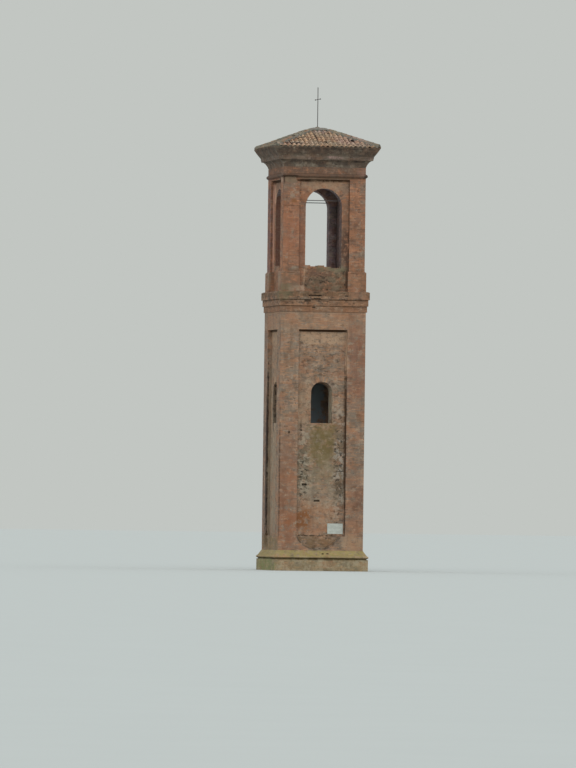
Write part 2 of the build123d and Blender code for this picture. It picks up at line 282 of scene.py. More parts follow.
# %% Brickwork
class Brickwork:
    """Collects bricks, with a tone for each, and turns them into one mesh."""

    def __init__(self, name):
        self.name = name
        self.points, self.faces, self.tones, self.sheets = [], [], [], []
        self.total, self.bricks = 0, 0

    def lay(self, face, rungs, grow, tones, proud, sheet):
        """rungs is bricks x rungs x (left, right) x (u, v). grow moves the ends' u for each metre out."""
        rungs, grow = np.asarray(rungs, float), np.asarray(grow, float)
        count, steps = rungs.shape[:2]
        free = (grow == 0)[..., None]
        across = unit(rungs[:, :, 1] - rungs[:, :, 0])
        inner = rungs.copy()
        inner[:, :, 0] += across * WORN * free[:, :, 0]
        inner[:, :, 1] -= across * WORN * free[:, :, 1]
        inner[:, 0, :, 1] += WORN
        inner[:, -1, :, 1] -= WORN
        inner += chance.normal(0, UNEVEN, inner.shape) * free
        depth = np.where(free[..., 0], np.asarray(proud)[:, None, None], PROUD)
        depth = depth + chance.normal(0, UNEVEN / 2, depth.shape) * free[..., 0]
        base = face.place(rungs[..., 0] - grow * SUNK, rungs[..., 1], np.full(grow.shape, -SUNK))
        front = face.place(inner[..., 0] + grow * depth, inner[..., 1], depth)
        self.points.append(np.concatenate([base.reshape(count, -1, 3), front.reshape(count, -1, 3)], 1)
                           .reshape(-1, 3))
        starts = self.total + np.arange(count)[:, None, None] * 4 * steps
        self.faces.append((starts + slab_faces(steps)).reshape(-1, 4))
        self.tones.append(np.repeat(tones, 4 * steps, axis=0))
        flat = np.concatenate([rungs.reshape(count, -1, 2), inner.reshape(count, -1, 2)], 1).reshape(-1, 2)
        (s0, s1, t0, t1), (u0, u1, v0, v1) = sheet
        s = s0 + (s1 - s0) * (flat[:, 0] - u0) / (u1 - u0)
        t = t0 + (t1 - t0) * (flat[:, 1] - v0) / (v1 - v0)
        self.sheets.append(np.stack([s, t], 1))
        self.total += count * 4 * steps
        self.bricks += count

    def finish(self, material, slot):
        """Makes the mesh with its tones and its sheet, and puts it up."""
        faces = np.concatenate(self.faces)
        mesh = new_mesh(self.name, np.concatenate(self.points), faces)
        give_tones(mesh, np.concatenate(self.tones))
        layer = mesh.uv_layers.new(name="OFBake")
        layer.data.foreach_set("uv", np.concatenate(self.sheets)[faces.ravel()].ravel())
        print(self.name, "bricks:", self.bricks)
        put_up(self.name, mesh, material)


print("a brick stands", PROUD * 1000, "mm out of its joints")

# %% [markdown]
# ## Courses and bond
#
# A mason builds in from both corners: one course starts with a long stretcher, and the next with a short
# header and a closer, so that no upright joint stands over another. Blender's brick texture can only shift
# every other row by a share of a brick. So the joints of each course are marked off as a mason would, and
# the two halves meet at a brick of odd length somewhere in the middle.

# %% Upright joints
STRETCHER, HEADER, CLOSER = 0.29, 0.145, 0.0725
COURSE = 0.07
NARROW, SPLIT_OVER, HALF_BRICK = 0.35, 0.2, 0.14
MEET_LEAST, MEET_MOST = 0.09, 0.34
STRAY = 0.012


def marked_off(first, limit):
    """Distances of the joints from one corner, for a course that starts long or short."""
    marks, at, k = [], 0.0, 0
    lengths = (STRETCHER, HEADER) if first else (HEADER, CLOSER, STRETCHER)
    while True:
        step = lengths[k] if k < len(lengths) else (STRETCHER, HEADER)[(k - len(lengths) + first + 1) % 2]
        at += step
        if at > limit:
            return marks
        marks.append(at)
        k += 1


def upright_joints(width, course):
    """Distances of the upright joints from the left end of a course."""
    if width < NARROW:
        return np.array([0, HALF_BRICK, width] if course % 2 and width > SPLIT_OVER else [0, width])
    meeting = width * chance.uniform(0.25, 0.75)
    left = marked_off(course % 2, meeting)
    right = [width - mark for mark in marked_off((course + 1) % 2, width - meeting)]
    gap = (right[-1] if right else width) - (left[-1] if left else 0)
    if gap < MEET_LEAST:
        (right or left).pop()
    elif gap > MEET_MOST:
        left.append((left[-1] if left else 0) + gap * 0.5)
    marks = np.array(left + right[::-1])
    marks = marks + chance.normal(0, STRAY, marks.shape)
    return np.concatenate([[0.0], marks, [width]])


print("joints from one corner:", [round(mark, 2) for mark in marked_off(1, 1.5)])

# %% [markdown]
# ## Cut bricks and corner bricks
#
# Where an opening, an arch ring or a hole crosses a course, a mason cuts the bricks to fit. A boolean
# modifier could cut the finished mesh, but it would leave open slabs. Cutting each brick's length before
# it is laid keeps every brick whole, with worn edges of its own. Both faces of a corner brick take
# their tone from one place, so the two read as one brick.

# %% Cutting and matching bricks
LEAST, SLIVER = 0.035, 0.01
corner_tones = {}


def corner_tone(face, u, v):
    """The same tone for both faces of a brick that turns a corner."""
    key = tuple(np.round(face.place(np.float64(u), np.float64(v), np.float64(0)), 2))
    if key not in corner_tones:
        corner_tones[key] = chance.random(3)
    return corner_tones[key]


def cut(bricks, gap):
    """Cuts a course against a gap, given as its ends at the foot, its ends at the top, and arris or not."""
    (left0, right0), (left1, right1), arris = gap
    new_end = "arris" if arris else "cut"
    kept = []
    for l0, r0, l1, r1, left_end, right_end in bricks:
        if (r0 <= left0 and r1 <= left1) or (l0 >= right0 and l1 >= right1):
            kept.append((l0, r0, l1, r1, left_end, right_end))
            continue
        end0, end1 = min(r0, left0), min(r1, left1)
        if end0 - l0 > LEAST or end1 - l1 > LEAST:
            kept.append((l0, max(end0, l0 + SLIVER), l1, max(end1, l1 + SLIVER), left_end, new_end))
        start0, start1 = max(l0, right0), max(l1, right1)
        if r0 - start0 > LEAST or r1 - start1 > LEAST:
            kept.append((min(start0, r0 - SLIVER), r0, min(start1, r1 - SLIVER), r1, new_end, right_end))
    return kept


whole = [(0.0, 0.29, 0.0, 0.29, "joint", "joint")]
print("a stretcher cut by a gap in its middle:", cut(whole, ((0.1, 0.2), (0.1, 0.2), False)))

# %% [markdown]
# ## A wall, course by course
#
# A wall is a stack of courses. Each end of a course meets something: a joint, the arris of a corner, the
# mitre of a moulding, or an inner corner where it tucks in. An array modifier would treat all ends alike,
# so a small function works out each course, and another sets its ends by what they meet.

# %% Laying courses
TUCK = 0.002
PROUD_LEAST, PROUD_MOST, PROUD_SPREAD = 0.001, 0.02, 0.0022


def bricks_between(face, low, high, left, right, course, gaps):
    """One course: for each brick its left and right u at the foot and at the top, and what its ends meet."""
    middle = (low + high) / 2
    start = -face.reach(middle) if left[0] == "mitre" else left[1]
    stop = face.reach(middle) if right[0] == "mitre" else right[1]
    marks = start + upright_joints(stop - start, course)
    bricks = [(a, b, a, b, "joint", "joint") for a, b in zip(marks[:-1], marks[1:])]
    bricks[0] = bricks[0][:4] + (left[0], bricks[0][5])
    bricks[-1] = bricks[-1][:5] + (right[0],)
    for gap in gaps:
        ends_of_gap = gap(low, high)
        if ends_of_gap:
            bricks = cut(bricks, ends_of_gap)
    return bricks


def shaped(face, bricks, low, high, bends):
    """The rungs of a course's bricks, how far their ends grow outwards, and their tones."""
    heights = np.linspace(low + JOINT / 2, high - JOINT / 2, bends)
    share = (heights - low) / (high - low)
    rungs = np.zeros((len(bricks), bends, 2, 2))
    grow = np.zeros((len(bricks), bends, 2))
    tones = chance.random((len(bricks), 3))
    for i, (l0, r0, l1, r1, left_end, right_end) in enumerate(bricks):
        rungs[i, :, 0, 0] = l0 + (l1 - l0) * share
        rungs[i, :, 1, 0] = r0 + (r1 - r0) * share
        rungs[i, :, :, 1] = heights[:, None]
        for side, end, sign in ((0, left_end, -1), (1, right_end, 1)):
            if end == "mitre":
                rungs[i, :, side, 0] = sign * face.reach(heights)
                grow[i, :, side] = sign * face.lean(heights)
            elif end == "arris":
                grow[i, :, side] = sign
            else:
                rungs[i, :, side, 0] -= sign * (TUCK if end == "inner" else JOINT / 2)
            if end in ("mitre", "arris"):
                tones[i] = corner_tone(face, rungs[i, 0, side, 0], (low + high) / 2)
    return rungs, grow, tones


def courses(work, face, bottom, top, left, right, sheet, gaps=(), pitch=COURSE, first=0, bends=2, rough=1.0):
    """Fills a face with courses between two heights. left and right are (kind, u), or ("mitre", None)."""
    rows = max(1, round((top - bottom) / pitch))
    edges = np.linspace(bottom, top, rows + 1)
    for row in range(rows):
        low, high = edges[row], edges[row + 1]
        bricks = bricks_between(face, low, high, left, right, row + first, gaps)
        if bricks:
            rungs, grow, tones = shaped(face, bricks, low, high, bends)
            proud = PROUD + chance.normal(0, PROUD_SPREAD * rough, len(bricks))
            work.lay(face, rungs, grow, tones, proud.clip(PROUD_LEAST, PROUD_MOST), sheet)


print("courses in a metre of wall:", round(1 / COURSE))

# %% [markdown]
# ## Openings and arch rings
#
# The window and the belfry arches have round heads, ringed by bricks on end whose joints point to the
# middle of the arch. A circular array could set out the ring, but the courses beside it would not know
# where to stop. So each opening is a rule that tells a course where its gap is, and the ring fills in
# the rest.

# %% Gaps and rings
RING_BRICK, RING_DROP, RING_SPREAD, RING_LEAST = 0.075, 0.006, 0.002, 0.002


def arch_gap(half, springing, ring_depth):
    """The gap of a round-headed opening, and over its springing the gap of the arch ring too."""
    def gap(low, high):
        if (low + high) / 2 < springing:
            return ((-half, half), (-half, half), True)
        reach = [math.sqrt(max((half + ring_depth) ** 2 - (v - springing) ** 2, 0)) for v in (low, high)]
        return ((-reach[0], reach[0]), (-reach[1], reach[1]), False) if reach[0] else None
    return gap


def box_gap(left, right, bottom, top):
    """The gap of an upright box, such as a fallen brick or the plaque."""
    def gap(low, high):
        return ((left, right), (left, right), False) if bottom < (low + high) / 2 < top else None
    return gap


def ring(work, face, opening, sheet):
    """The arch ring over an opening, as bricks on end."""
    radius = opening.half
    count = round(math.pi * radius / RING_BRICK)
    turns = np.linspace(math.pi, 0, count + 1)
    rungs, grow = np.zeros((count, 2, 2, 2)), np.zeros((count, 2, 2))
    for i in range(count):
        near, far = turns[i] - JOINT / 2 / radius, turns[i + 1] + JOINT / 2 / radius
        for j, r in enumerate((radius - RING_DROP, radius + opening.ring)):
            for k, turn in enumerate((near, far)):
                rungs[i, j, k] = (r * math.cos(turn), opening.springing + r * math.sin(turn))
    proud = PROUD + chance.normal(0, RING_SPREAD, count)
    work.lay(face, rungs, grow, chance.random((count, 3)), proud.clip(RING_LEAST, PROUD_MOST), sheet)


print("gap of an arch at its springing:", arch_gap(1.0, 5.0, 0.28)(4.9, 4.97))

# %% [markdown]
# ## Levels and widths
#
# The tower stands on a plinth of 5.08 m and rises through shaft, string course and belfry to the cornice.
# The script could measure these levels on the solids, but a list of names reads like a mason's drawing and
# is easy to change. The numbers are those of the solids, so the bricks lie on their faces.

# %% Levels and half widths, in metres
LEVEL = SimpleNamespace(
    ground=0.0, course_top=0.61, lip=0.67, lip_middle=0.735, lip_top=0.80, band=1.09, scar=1.15,
    panel=1.85, head=12.88, string=13.83, string_middle=14.15, string_upper=14.49, wash=14.875,
    belfry=14.92, chamber=14.97, splay=15.93, pedestal_top=16.00, sill=16.32, panel_top=20.90,
    bead=21.00, bead_middle=21.10, frieze=21.20, cornice=21.56, hollow=21.782, fillet=21.93,
    corona=22.13, belly=22.375, cornice_top=22.62)
SHAFT, SHAFT_PANEL, SHAFT_INNER = 2.30, 2.09, 1.33
BELFRY, BELFRY_PANEL, BELFRY_INNER = 2.22, 2.02, 1.375
PEDESTAL, PEDESTAL_TOP, PEDESTAL_INNER = 2.30, 2.23, 1.315
SHAFT_RECESS, BELFRY_RECESS, PEDESTAL_RECESS = 0.21, 0.20, 0.28
WINDOW = SimpleNamespace(half=0.585, sill=7.89, springing=9.515, ring=0.28)
WINDOW_SPLAY = (WINDOW.half - 0.52) / (SHAFT_PANEL - SHAFT_INNER)
ARCH = SimpleNamespace(half=0.99, sill=16.32, springing=19.44, ring=0.28)
PLAQUE = (0.3925, 1.2375, 1.98, 2.54)
print("shaft panel:", 2 * SHAFT_INNER, "m wide and", round(LEVEL.head - LEVEL.panel, 2), "m tall")

# %% [markdown]
# ## Fallen bricks and curved outlines
#
# Bricks have dropped out of the panel and the string course, and the parapet's crest has crumbled. A
# sculpting brush could chip them away by hand, but then the holes would not follow the courses. So each
# is a box that the courses leave out. Each moulding is an arc through three points, as on a template.

# %% Holes, crest and arcs
CREST = [(-0.99, -0.70, 0.0), (-0.70, -0.31, 0.06), (-0.31, 0.06, 0.0), (0.06, 0.43, 0.08),
         (0.43, 0.99, 0.14)]
PANEL_HOLES = [(-0.895, 2.70, 0.27, 0.11), (-0.20, 1.84, 0.32, 0.11), (-1.09, 5.59, 0.11, 0.11)]
STRING_HOLES = [(-0.50, 0.83, 0.71, 0.085), (-0.90, 0.52, 0.33, 0.13), (-0.39, 0.64, 0.38, 0.08),
                (-0.55, 0.16, 0.16, 0.09)]


def hole_gaps(holes, base):
    """Holes given as (middle, height over the base, width, height)."""
    return [box_gap(x - w / 2, x + w / 2, base + z, base + z + h) for x, z, w, h in holes]


def arc(start, via, end, steps):
    """Points on the circle through three points."""
    (ax, ay), (bx, by), (cx, cy) = start, via, end
    twice = 2 * (ax * (by - cy) + bx * (cy - ay) + cx * (ay - by))
    a2, b2, c2 = ax**2 + ay**2, bx**2 + by**2, cx**2 + cy**2
    x = (a2 * (by - cy) + b2 * (cy - ay) + c2 * (ay - by)) / twice
    y = (a2 * (cx - bx) + b2 * (ax - cx) + c2 * (bx - ax)) / twice
    radius = math.hypot(ax - x, ay - y)
    turns = np.unwrap([math.atan2(py - y, px - x) for px, py in (start, via, end)])
    sweep = np.linspace(turns[0], turns[2], steps)
    return [(x + radius * math.cos(t), y + radius * math.sin(t)) for t in sweep]


print("holes:", len(PANEL_HOLES) + len(STRING_HOLES), "stretches of crest:", len(CREST))

# %% [markdown]
# ## The scar over the plinth
#
# A bowl-shaped piece of the band has broken away at the foot of the front panel. The solid has it cut out
# as a clean bowl. Here the courses stop at the bowl, each at a slightly different place so that the break
# looks ragged, and a second, deeper set of courses shows inside it.

# %% The bowl-shaped scar
SCAR = SimpleNamespace(x=-0.145, half=1.165, drop=0.70, ragged=0.07)
SCAR_RADIUS = (SCAR.half**2 + SCAR.drop**2) / 2 / SCAR.drop
SCAR_MIDDLE = LEVEL.panel - SCAR.drop + SCAR_RADIUS
FAR = 9.0


def scar_half(z):
    """Half the width of the bowl at a height."""
    return math.sqrt(max(SCAR_RADIUS**2 - (z - SCAR_MIDDLE) ** 2, 0))


def scar_gap(low, high):
    """The break in the band, ragged and a little wider than the bowl."""
    half = scar_half(high)
    if not half:
        return None
    left = SCAR.x - half - chance.uniform(0.0, SCAR.ragged)
    right = SCAR.x + half + chance.uniform(0.0, SCAR.ragged)
    return ((left, right), (left, right), False)


def outside_scar(sign):
    """Keeps the courses inside the bowl to its width, on one side."""
    def gap(low, high):
        edge = SCAR.x + sign * scar_half(low)
        span = (edge, FAR) if sign > 0 else (-FAR, edge)
        return (span, span, False)
    return gap


print("radius of the bowl:", round(SCAR_RADIUS, 3), "m")

# %% [markdown]
# ## A sheet for each piece
#
# To bake a material, each spot of a mesh needs its own place on a flat sheet. Smart UV Project would find
# one, but it is slow on so many slabs and scatters them. Each face of the brickwork is flat or rolls out
# flat already, so it takes a strip of a unit square, and its u and v are the place. A sheet is given by how
# many metres of strips have room on it, across and up.

# %% Strips on a sheet
MARGIN = 0.015


class Sheet:
    """Hands out strips of the unit square, left to right, at one scale."""

    def __init__(self, span_u, span_v):
        self.scale = 0.99 / max(span_u, span_v)
        self.span = 1 / self.scale
        self.at_u, self.at_v, self.row = 0.0, 0.0, 0.0

    def strip(self, u0, u1, v0, v1):
        wide, high = abs(u1 - u0) + 2 * MARGIN, abs(v1 - v0) + 2 * MARGIN
        if self.at_u + wide > self.span * 0.995:
            self.at_u, self.at_v, self.row = 0.0, self.at_v + self.row, 0.0
        s, t = self.at_u * self.scale, self.at_v * self.scale
        self.at_u += wide
        self.row = max(self.row, high)
        on_sheet = (s, s + wide * self.scale, t, t + high * self.scale)
        return on_sheet, (u0 - MARGIN, u1 + MARGIN, v0 - MARGIN, v1 + MARGIN)


MITRES = dict(left=("mitre", None), right=("mitre", None))


def lay_face(work, sheet, face, bottom, top, left, right, **options):
    """Courses on one face, with a strip of the sheet to themselves."""
    wide = max(face.outline[:, 0]) if isinstance(face, Run) else 0
    u0 = -wide if left[0] == "mitre" else left[1]
    u1 = wide if right[0] == "mitre" else right[1]
    courses(work, face, bottom, top, left, right, sheet.strip(u0, u1, bottom, top), **options)


print("strip of a metre on a sheet of ten:", Sheet(10, 10).strip(0, 1, 0, 1)[0])

# %% [markdown]
# ## Nodes by script
#
# Nothing on the tower is one plain colour, so each finish is a tree of shader nodes. They could be wired in
# the shader editor. A helper that adds and links a node in one line makes each tree read as a recipe. Where
# sockets share a name, it takes them by number.

# %% Node helpers
def srgb(red, green, blue):
    """A colour picked on a screen, as the linear values that a shader wants."""
    linear = [((c / 255 + 0.055) / 1.055) ** 2.4 if c > 10 else c / 255 / 12.92 for c in (red, green, blue)]
    return (*linear, 1)


class Graph:
    """Adds nodes to a tree and links them by name, or by number, as in i0."""

    def __init__(self, tree):
        self.tree = tree

    def set(self, socket, value):
        if isinstance(value, bpy.types.NodeSocket):
            self.tree.links.new(value, socket)
        else:
            socket.default_value = value

    def node(self, kind, settings=None, **inputs):
        made = self.tree.nodes.new(kind)
        for name, value in (settings or {}).items():
            setattr(made, name, value)
        for name, value in inputs.items():
            numbered = name[0] == "i" and name[1:].isdigit()
            self.set(made.inputs[int(name[1:]) if numbered else name], value)
        return made

    def math(self, operation, a, b=0.0, c=0.0):
        return self.node("ShaderNodeMath", dict(operation=operation), i0=a, i1=b, i2=c).outputs[0]

    def vector(self, operation, a, b):
        return self.node("ShaderNodeVectorMath", dict(operation=operation), i0=a, i1=b).outputs

    def split(self, vector):
        return self.node("ShaderNodeSeparateXYZ", Vector=vector).outputs

    def join(self, x, y, z):
        return self.node("ShaderNodeCombineXYZ", X=x, Y=y, Z=z).outputs[0]

    def position(self):
        """The tower's own coordinates, in metres."""
        return self.node("ShaderNodeTexCoord").outputs["Object"]

    def noise(self, vector, scale, detail=3.0, roughness=0.55, output="Fac"):
        made = self.node("ShaderNodeTexNoise", Vector=vector, Scale=scale, Detail=detail, Roughness=roughness)
        return made.outputs[output]

    def ramp(self, value, low, high, start=0.0, end=1.0, kind="SMOOTHSTEP"):
        """Goes from a start to an end while a value goes from low to high."""
        made = self.node("ShaderNodeMapRange", dict(interpolation_type=kind),
                         i0=value, i1=low, i2=high, i3=start, i4=end)
        return made.outputs[0]

    def mix(self, factor, a, b):
        return self.node("ShaderNodeMix", dict(data_type="RGBA"), i0=factor, i6=a, i7=b).outputs[2]

    def tint(self, colour, over, mask, strength):
        """Lays one colour over another where a mask is up, as far as a strength."""
        return self.mix(self.math("MULTIPLY", mask, strength), colour, over)

    def brighten(self, colour, value):
        return self.node("ShaderNodeHueSaturation", Color=colour, Value=value).outputs[0]

    def roughen(self, shader, height, strength, distance):
        """Gives a shader fine relief."""
        bump = self.node("ShaderNodeBump", Strength=strength, Distance=distance, Height=height)
        self.set(shader["Normal"], bump.outputs[0])


print("mid grey on a screen is", round(srgb(128, 128, 128)[0], 3), "in linear light")

# %% [markdown]
# ## Groups and materials
#
# All the brickwork ages in the same way, whatever its clay. Copying the nodes into each material would work,
# but every later change would have to be made many times. A node group holds them once, with named inputs
# and outputs, and each material uses it with its own values. The Principled shader stays outside the group.

# %% Starting a group or a material
def new_group(name, inputs, outputs):
    tree = bpy.data.node_groups.new(name, "ShaderNodeTree")
    kinds = {"c": "NodeSocketColor", "f": "NodeSocketFloat", "v": "NodeSocketVector"}
    for label, kind in inputs.items():
        tree.interface.new_socket(label, in_out="INPUT", socket_type=kinds[kind])
    for label, kind in outputs.items():
        tree.interface.new_socket(label, in_out="OUTPUT", socket_type=kinds[kind])
    graph = Graph(tree)
    return graph, graph.node("NodeGroupInput").outputs, graph.node("NodeGroupOutput").inputs


def use_group(graph, name, **inputs):
    made = graph.node("ShaderNodeGroup")
    made.node_tree = bpy.data.node_groups[name]
    for label, value in inputs.items():
        graph.set(made.inputs[label], value)
    return made.outputs


def new_material(name):
    material = bpy.data.materials.new(name)
    material.use_nodes = True
    graph = Graph(material.node_tree)
    return material, graph, material.node_tree.nodes["Principled BSDF"].inputs


print("groups so far:", len(bpy.data.node_groups))

# %% [markdown]
# ## A soft-edged patch
#
# Rain washes one stretch of wall and leaves the next one sooty. Such marks could be painted on with a
# texture brush, but that takes an image for each wall. A patch is worked out from the distance to
# its middle instead: inside its half lengths the mask is 1, and outside 0. Fourth powers make it a box with
# round corners, and a noise pushes its edge about so that it looks torn.

# %% The patch group
PATCH_INPUTS = dict(At="v", Push="v", Centre="v", Half="v", Softness="f", Ragged="f")
graph, given, made = new_group("patch", PATCH_INPUTS, dict(Mask="f"))
offset = graph.vector("SUBTRACT", given["At"], given["Centre"])[0]
scaled = graph.vector("DIVIDE", offset, given["Half"])[0]
pushed = graph.node("ShaderNodeVectorMath", dict(operation="SCALE"),
                    Vector=given["Push"], Scale=given["Ragged"]).outputs[0]
torn = graph.vector("ADD", scaled, pushed)[0]
squares = [graph.math("MULTIPLY", part, part) for part in graph.split(torn)]
fourths = [graph.math("MULTIPLY", square, square) for square in squares]
total = graph.math("ADD", graph.math("ADD", fourths[0], fourths[1]), fourths[2])
away = graph.math("POWER", total, 0.25)
near = graph.math("SUBTRACT", 1.0, given["Softness"])
far = graph.math("ADD", 1.0, given["Softness"])
graph.set(made["Mask"], graph.ramp(away, near, far, start=1.0, end=0.0))
print("patch group:", len(graph.tree.nodes), "nodes")

# %% [markdown]
# ## Clay
#
# Handmade bricks come out of the kiln in many shades. A noise texture would change colour in the middle of a
# brick, so the shade comes from the three tones that each brick carries. The first picks its clay, from
# warm to cool, the second makes it paler or darker, and the third picks the few that were burnt or limed.

# %% The clay group
CLAY_INPUTS = dict(Tones="c", Warm="c", Middle="c", Cool="c")
graph, given, made = new_group("brick_colour", CLAY_INPUTS, dict(Color="c"))
tones = graph.node("ShaderNodeSeparateColor", Color=given["Tones"]).outputs
clay = graph.mix(graph.ramp(tones[0], 0.0, 0.55), given["Warm"], given["Middle"])
clay = graph.mix(graph.ramp(tones[0], 0.5, 1.0), clay, given["Cool"])
shade = graph.ramp(tones[1], 0.0, 1.0, start=-0.11, end=0.10, kind="LINEAR")
clay = graph.brighten(clay, graph.math("ADD", shade, 1.0))
clay = graph.tint(clay, srgb(70, 52, 46), mask=graph.ramp(tones[2], 0.92, 0.97), strength=0.35)
clay = graph.tint(clay, srgb(166, 148, 124), mask=graph.ramp(tones[2], 0.09, 0.04), strength=0.22)
graph.set(made["Color"], clay)
print("clay group:", len(graph.tree.nodes), "nodes")

# %% [markdown]
# ## Weather and painted shade that all four sides share
#
# Shade under each ledge and under the head of each recess is painted on as a dark line, pale salts gather
# under each window, and a few rows paint light, all round the tower. Each patch is a row in a table: its
# middle, how far it reaches each way, how soft its edge is, its colour, how strong it is and what breaks it
# up. A row is easier to place and change than a brush stroke. In this first table the three numbers of a
# place are u along the wall, the distance from the axis, and the height, all in metres.

# %% Weather, painted shade and painted light all round
# The second colour is soot in pits and streaks. It also paints shade in a few patches: under the fillet,
# under the eaves and on the belfry's returns.
OLIVE, SOOT_AND_SHADE, LIME, GREY = (106, 91, 54), (46, 38, 32), (168, 156, 136), (122, 112, 98)
ORANGE, BUFF = (154, 106, 76), (164, 138, 112)
# The second colour is painted shade: the dark line under the head of each recess and along the front's right
# return. The first marks cracks and holes, and also paints shade on some returns.
DARK_LINE, PAINTED_SHADE_LINE = (40, 27, 16), (56, 33, 12)
ROUND = {
    "shaft": [
        ((0, 2.09, 12.45), (1.35, 0.1, 0.38), 0.4, (176, 146, 117), 0.7, "blotchy"),
        # Painted shade under the head of the shaft's recess.
        ((0, 2.09, 12.83), (1.40, 0.1, 0.07), 0.2, PAINTED_SHADE_LINE, 0.95, "solid"),
        # Painted light: lightens the top of the head band, where the string course casts its shadow.
        ((0, 2.30, 13.79), (3, 0.1, 0.06), 0.5, (176, 144, 118), 0.35, "solid"),
        ((0, 2.30, 13.2), (3, 0.1, 0.5), 0.4, (156, 120, 92), 0.4, "blotchy"),
        ((0, 2.09, 5.5), (1.35, 0.12, 3.3), 0.3, SOOT_AND_SHADE, 0.28, "pitted"),
        ((0, 2.09, 10.5), (1.35, 0.12, 2.0), 0.4, SOOT_AND_SHADE, 0.25, "pitted"),
        ((0, 2.09, 6.0), (1.35, 0.12, 4.0), 0.4, (166, 152, 130), 0.35, "limed"),
        # Painted light: the inside of the shaft is painted a pale bluish grey, as if lit by the sky.
        ((0, 0, 7), (1.36, 1.36, 7.5), 0.02, (124, 136, 140), 0.9, "solid"),
    ],
    "belfry": [
        # Painted shade under the head of the belfry's recess.
        ((0, 2.02, 20.84), (1.38, 0.1, 0.07), 0.2, PAINTED_SHADE_LINE, 0.9, "solid"),
        # Painted shade on the returns of the belfry's recesses.
        ((1.375, 2.10, 18.4), (0.06, 0.09, 2.6), 0.2, SOOT_AND_SHADE, 0.4, "blotchy"),
        ((0, 2.29, 21.12), (3, 0.07, 0.12), 0.4, (82, 66, 54), 0.75, "solid"),
        # Painted shade under the bead: on its underside, and on the wall just below it.
        ((0, 2.28, 21.03), (3, 0.09, 0.05), 0.4, (60, 42, 30), 0.45, "blotchy"),
        ((0, 2.22, 20.98), (3, 0.1, 0.05), 0.4, (88, 58, 44), 0.6, "blotchy"),
        ((0, 2.22, 21.4), (3, 0.1, 0.25), 0.5, (90, 73, 61), 0.65, "blotchy"),
        ((0, 2.25, 15.5), (3, 0.4, 0.7), 0.5, (118, 96, 74), 0.35, "blotchy"),
    ],
    "string": [
        # Painted shade under the middle band.
        ((0, 2.355, 14.13), (3, 0.03, 0.035), 0.4, (70, 44, 24), 0.55, "blotchy"),
        ((0, 2.355, 13.95), (3, 0.03, 0.15), 0.4, (128, 90, 64), 0.55, "blotchy"),
        # Painted shade under the top band.
        ((0, 2.41, 14.47), (3, 0.03, 0.035), 0.4, (70, 44, 24), 0.6, "blotchy"),
        ((0, 2.41, 14.25), (3, 0.04, 0.18), 0.4, (142, 102, 74), 0.5, "blotchy"),
        ((0, 2.45, 14.8), (3, 0.1, 0.17), 0.5, (84, 66, 46), 0.6, "blotchy"),
        ((0, 2.45, 14.6), (3, 0.1, 0.4), 0.5, SOOT_AND_SHADE, 0.6, "pitted"),
    ],
    "cornice": [
        ((0, 2.565, 22.04), (3, 0.05, 0.1), 0.3, (124, 106, 96), 0.4, "limed"),
        # Painted shade under the fillet's lip.
        ((0, 2.4, 21.9), (3, 0.13, 0.08), 0.5, SOOT_AND_SHADE, 0.35, "blotchy"),
        ((0, 2.74, 22.38), (3, 0.2, 0.22), 0.2, (66, 55, 47), 0.45, "blotchy"),
        # Painted shade under the eaves.
        ((0, 2.8, 22.56), (3, 0.2, 0.1), 0.5, SOOT_AND_SHADE, 0.4, "blotchy"),
    ],
    "plinth": [
        ((0, 2.4, 0.93), (3, 0.22, 0.22), 0.3, (148, 134, 80), 0.7, "blotchy"),
        # Painted shade in the joint under the lip, tinted olive.
        ((0, 2.5, 0.645), (3, 0.08, 0.07), 0.3, (66, 50, 10), 0.9, "solid"),
        ((0, 2.54, 0.3), (3, 0.1, 0.35), 0.3, (132, 122, 92), 0.35, "blotchy"),
        ((0, 2.54, 0.3), (3, 0.1, 0.35), 0.3, (168, 156, 128), 0.35, "limed"),
    ],
}
print("patches all round:", {zone: len(rows) for zone, rows in ROUND.items()})

# %% [markdown]
# ## Weather on the shaft's sides
#
# The front panel is the most marked: olive algae run down from the window, salts bloom on both sides, and
# brown clay shows by the scar. A place here is x, y and z in the tower's own coordinates, so that
# a row marks one side only. The rows lie over each other in their order, as coats of paint do.

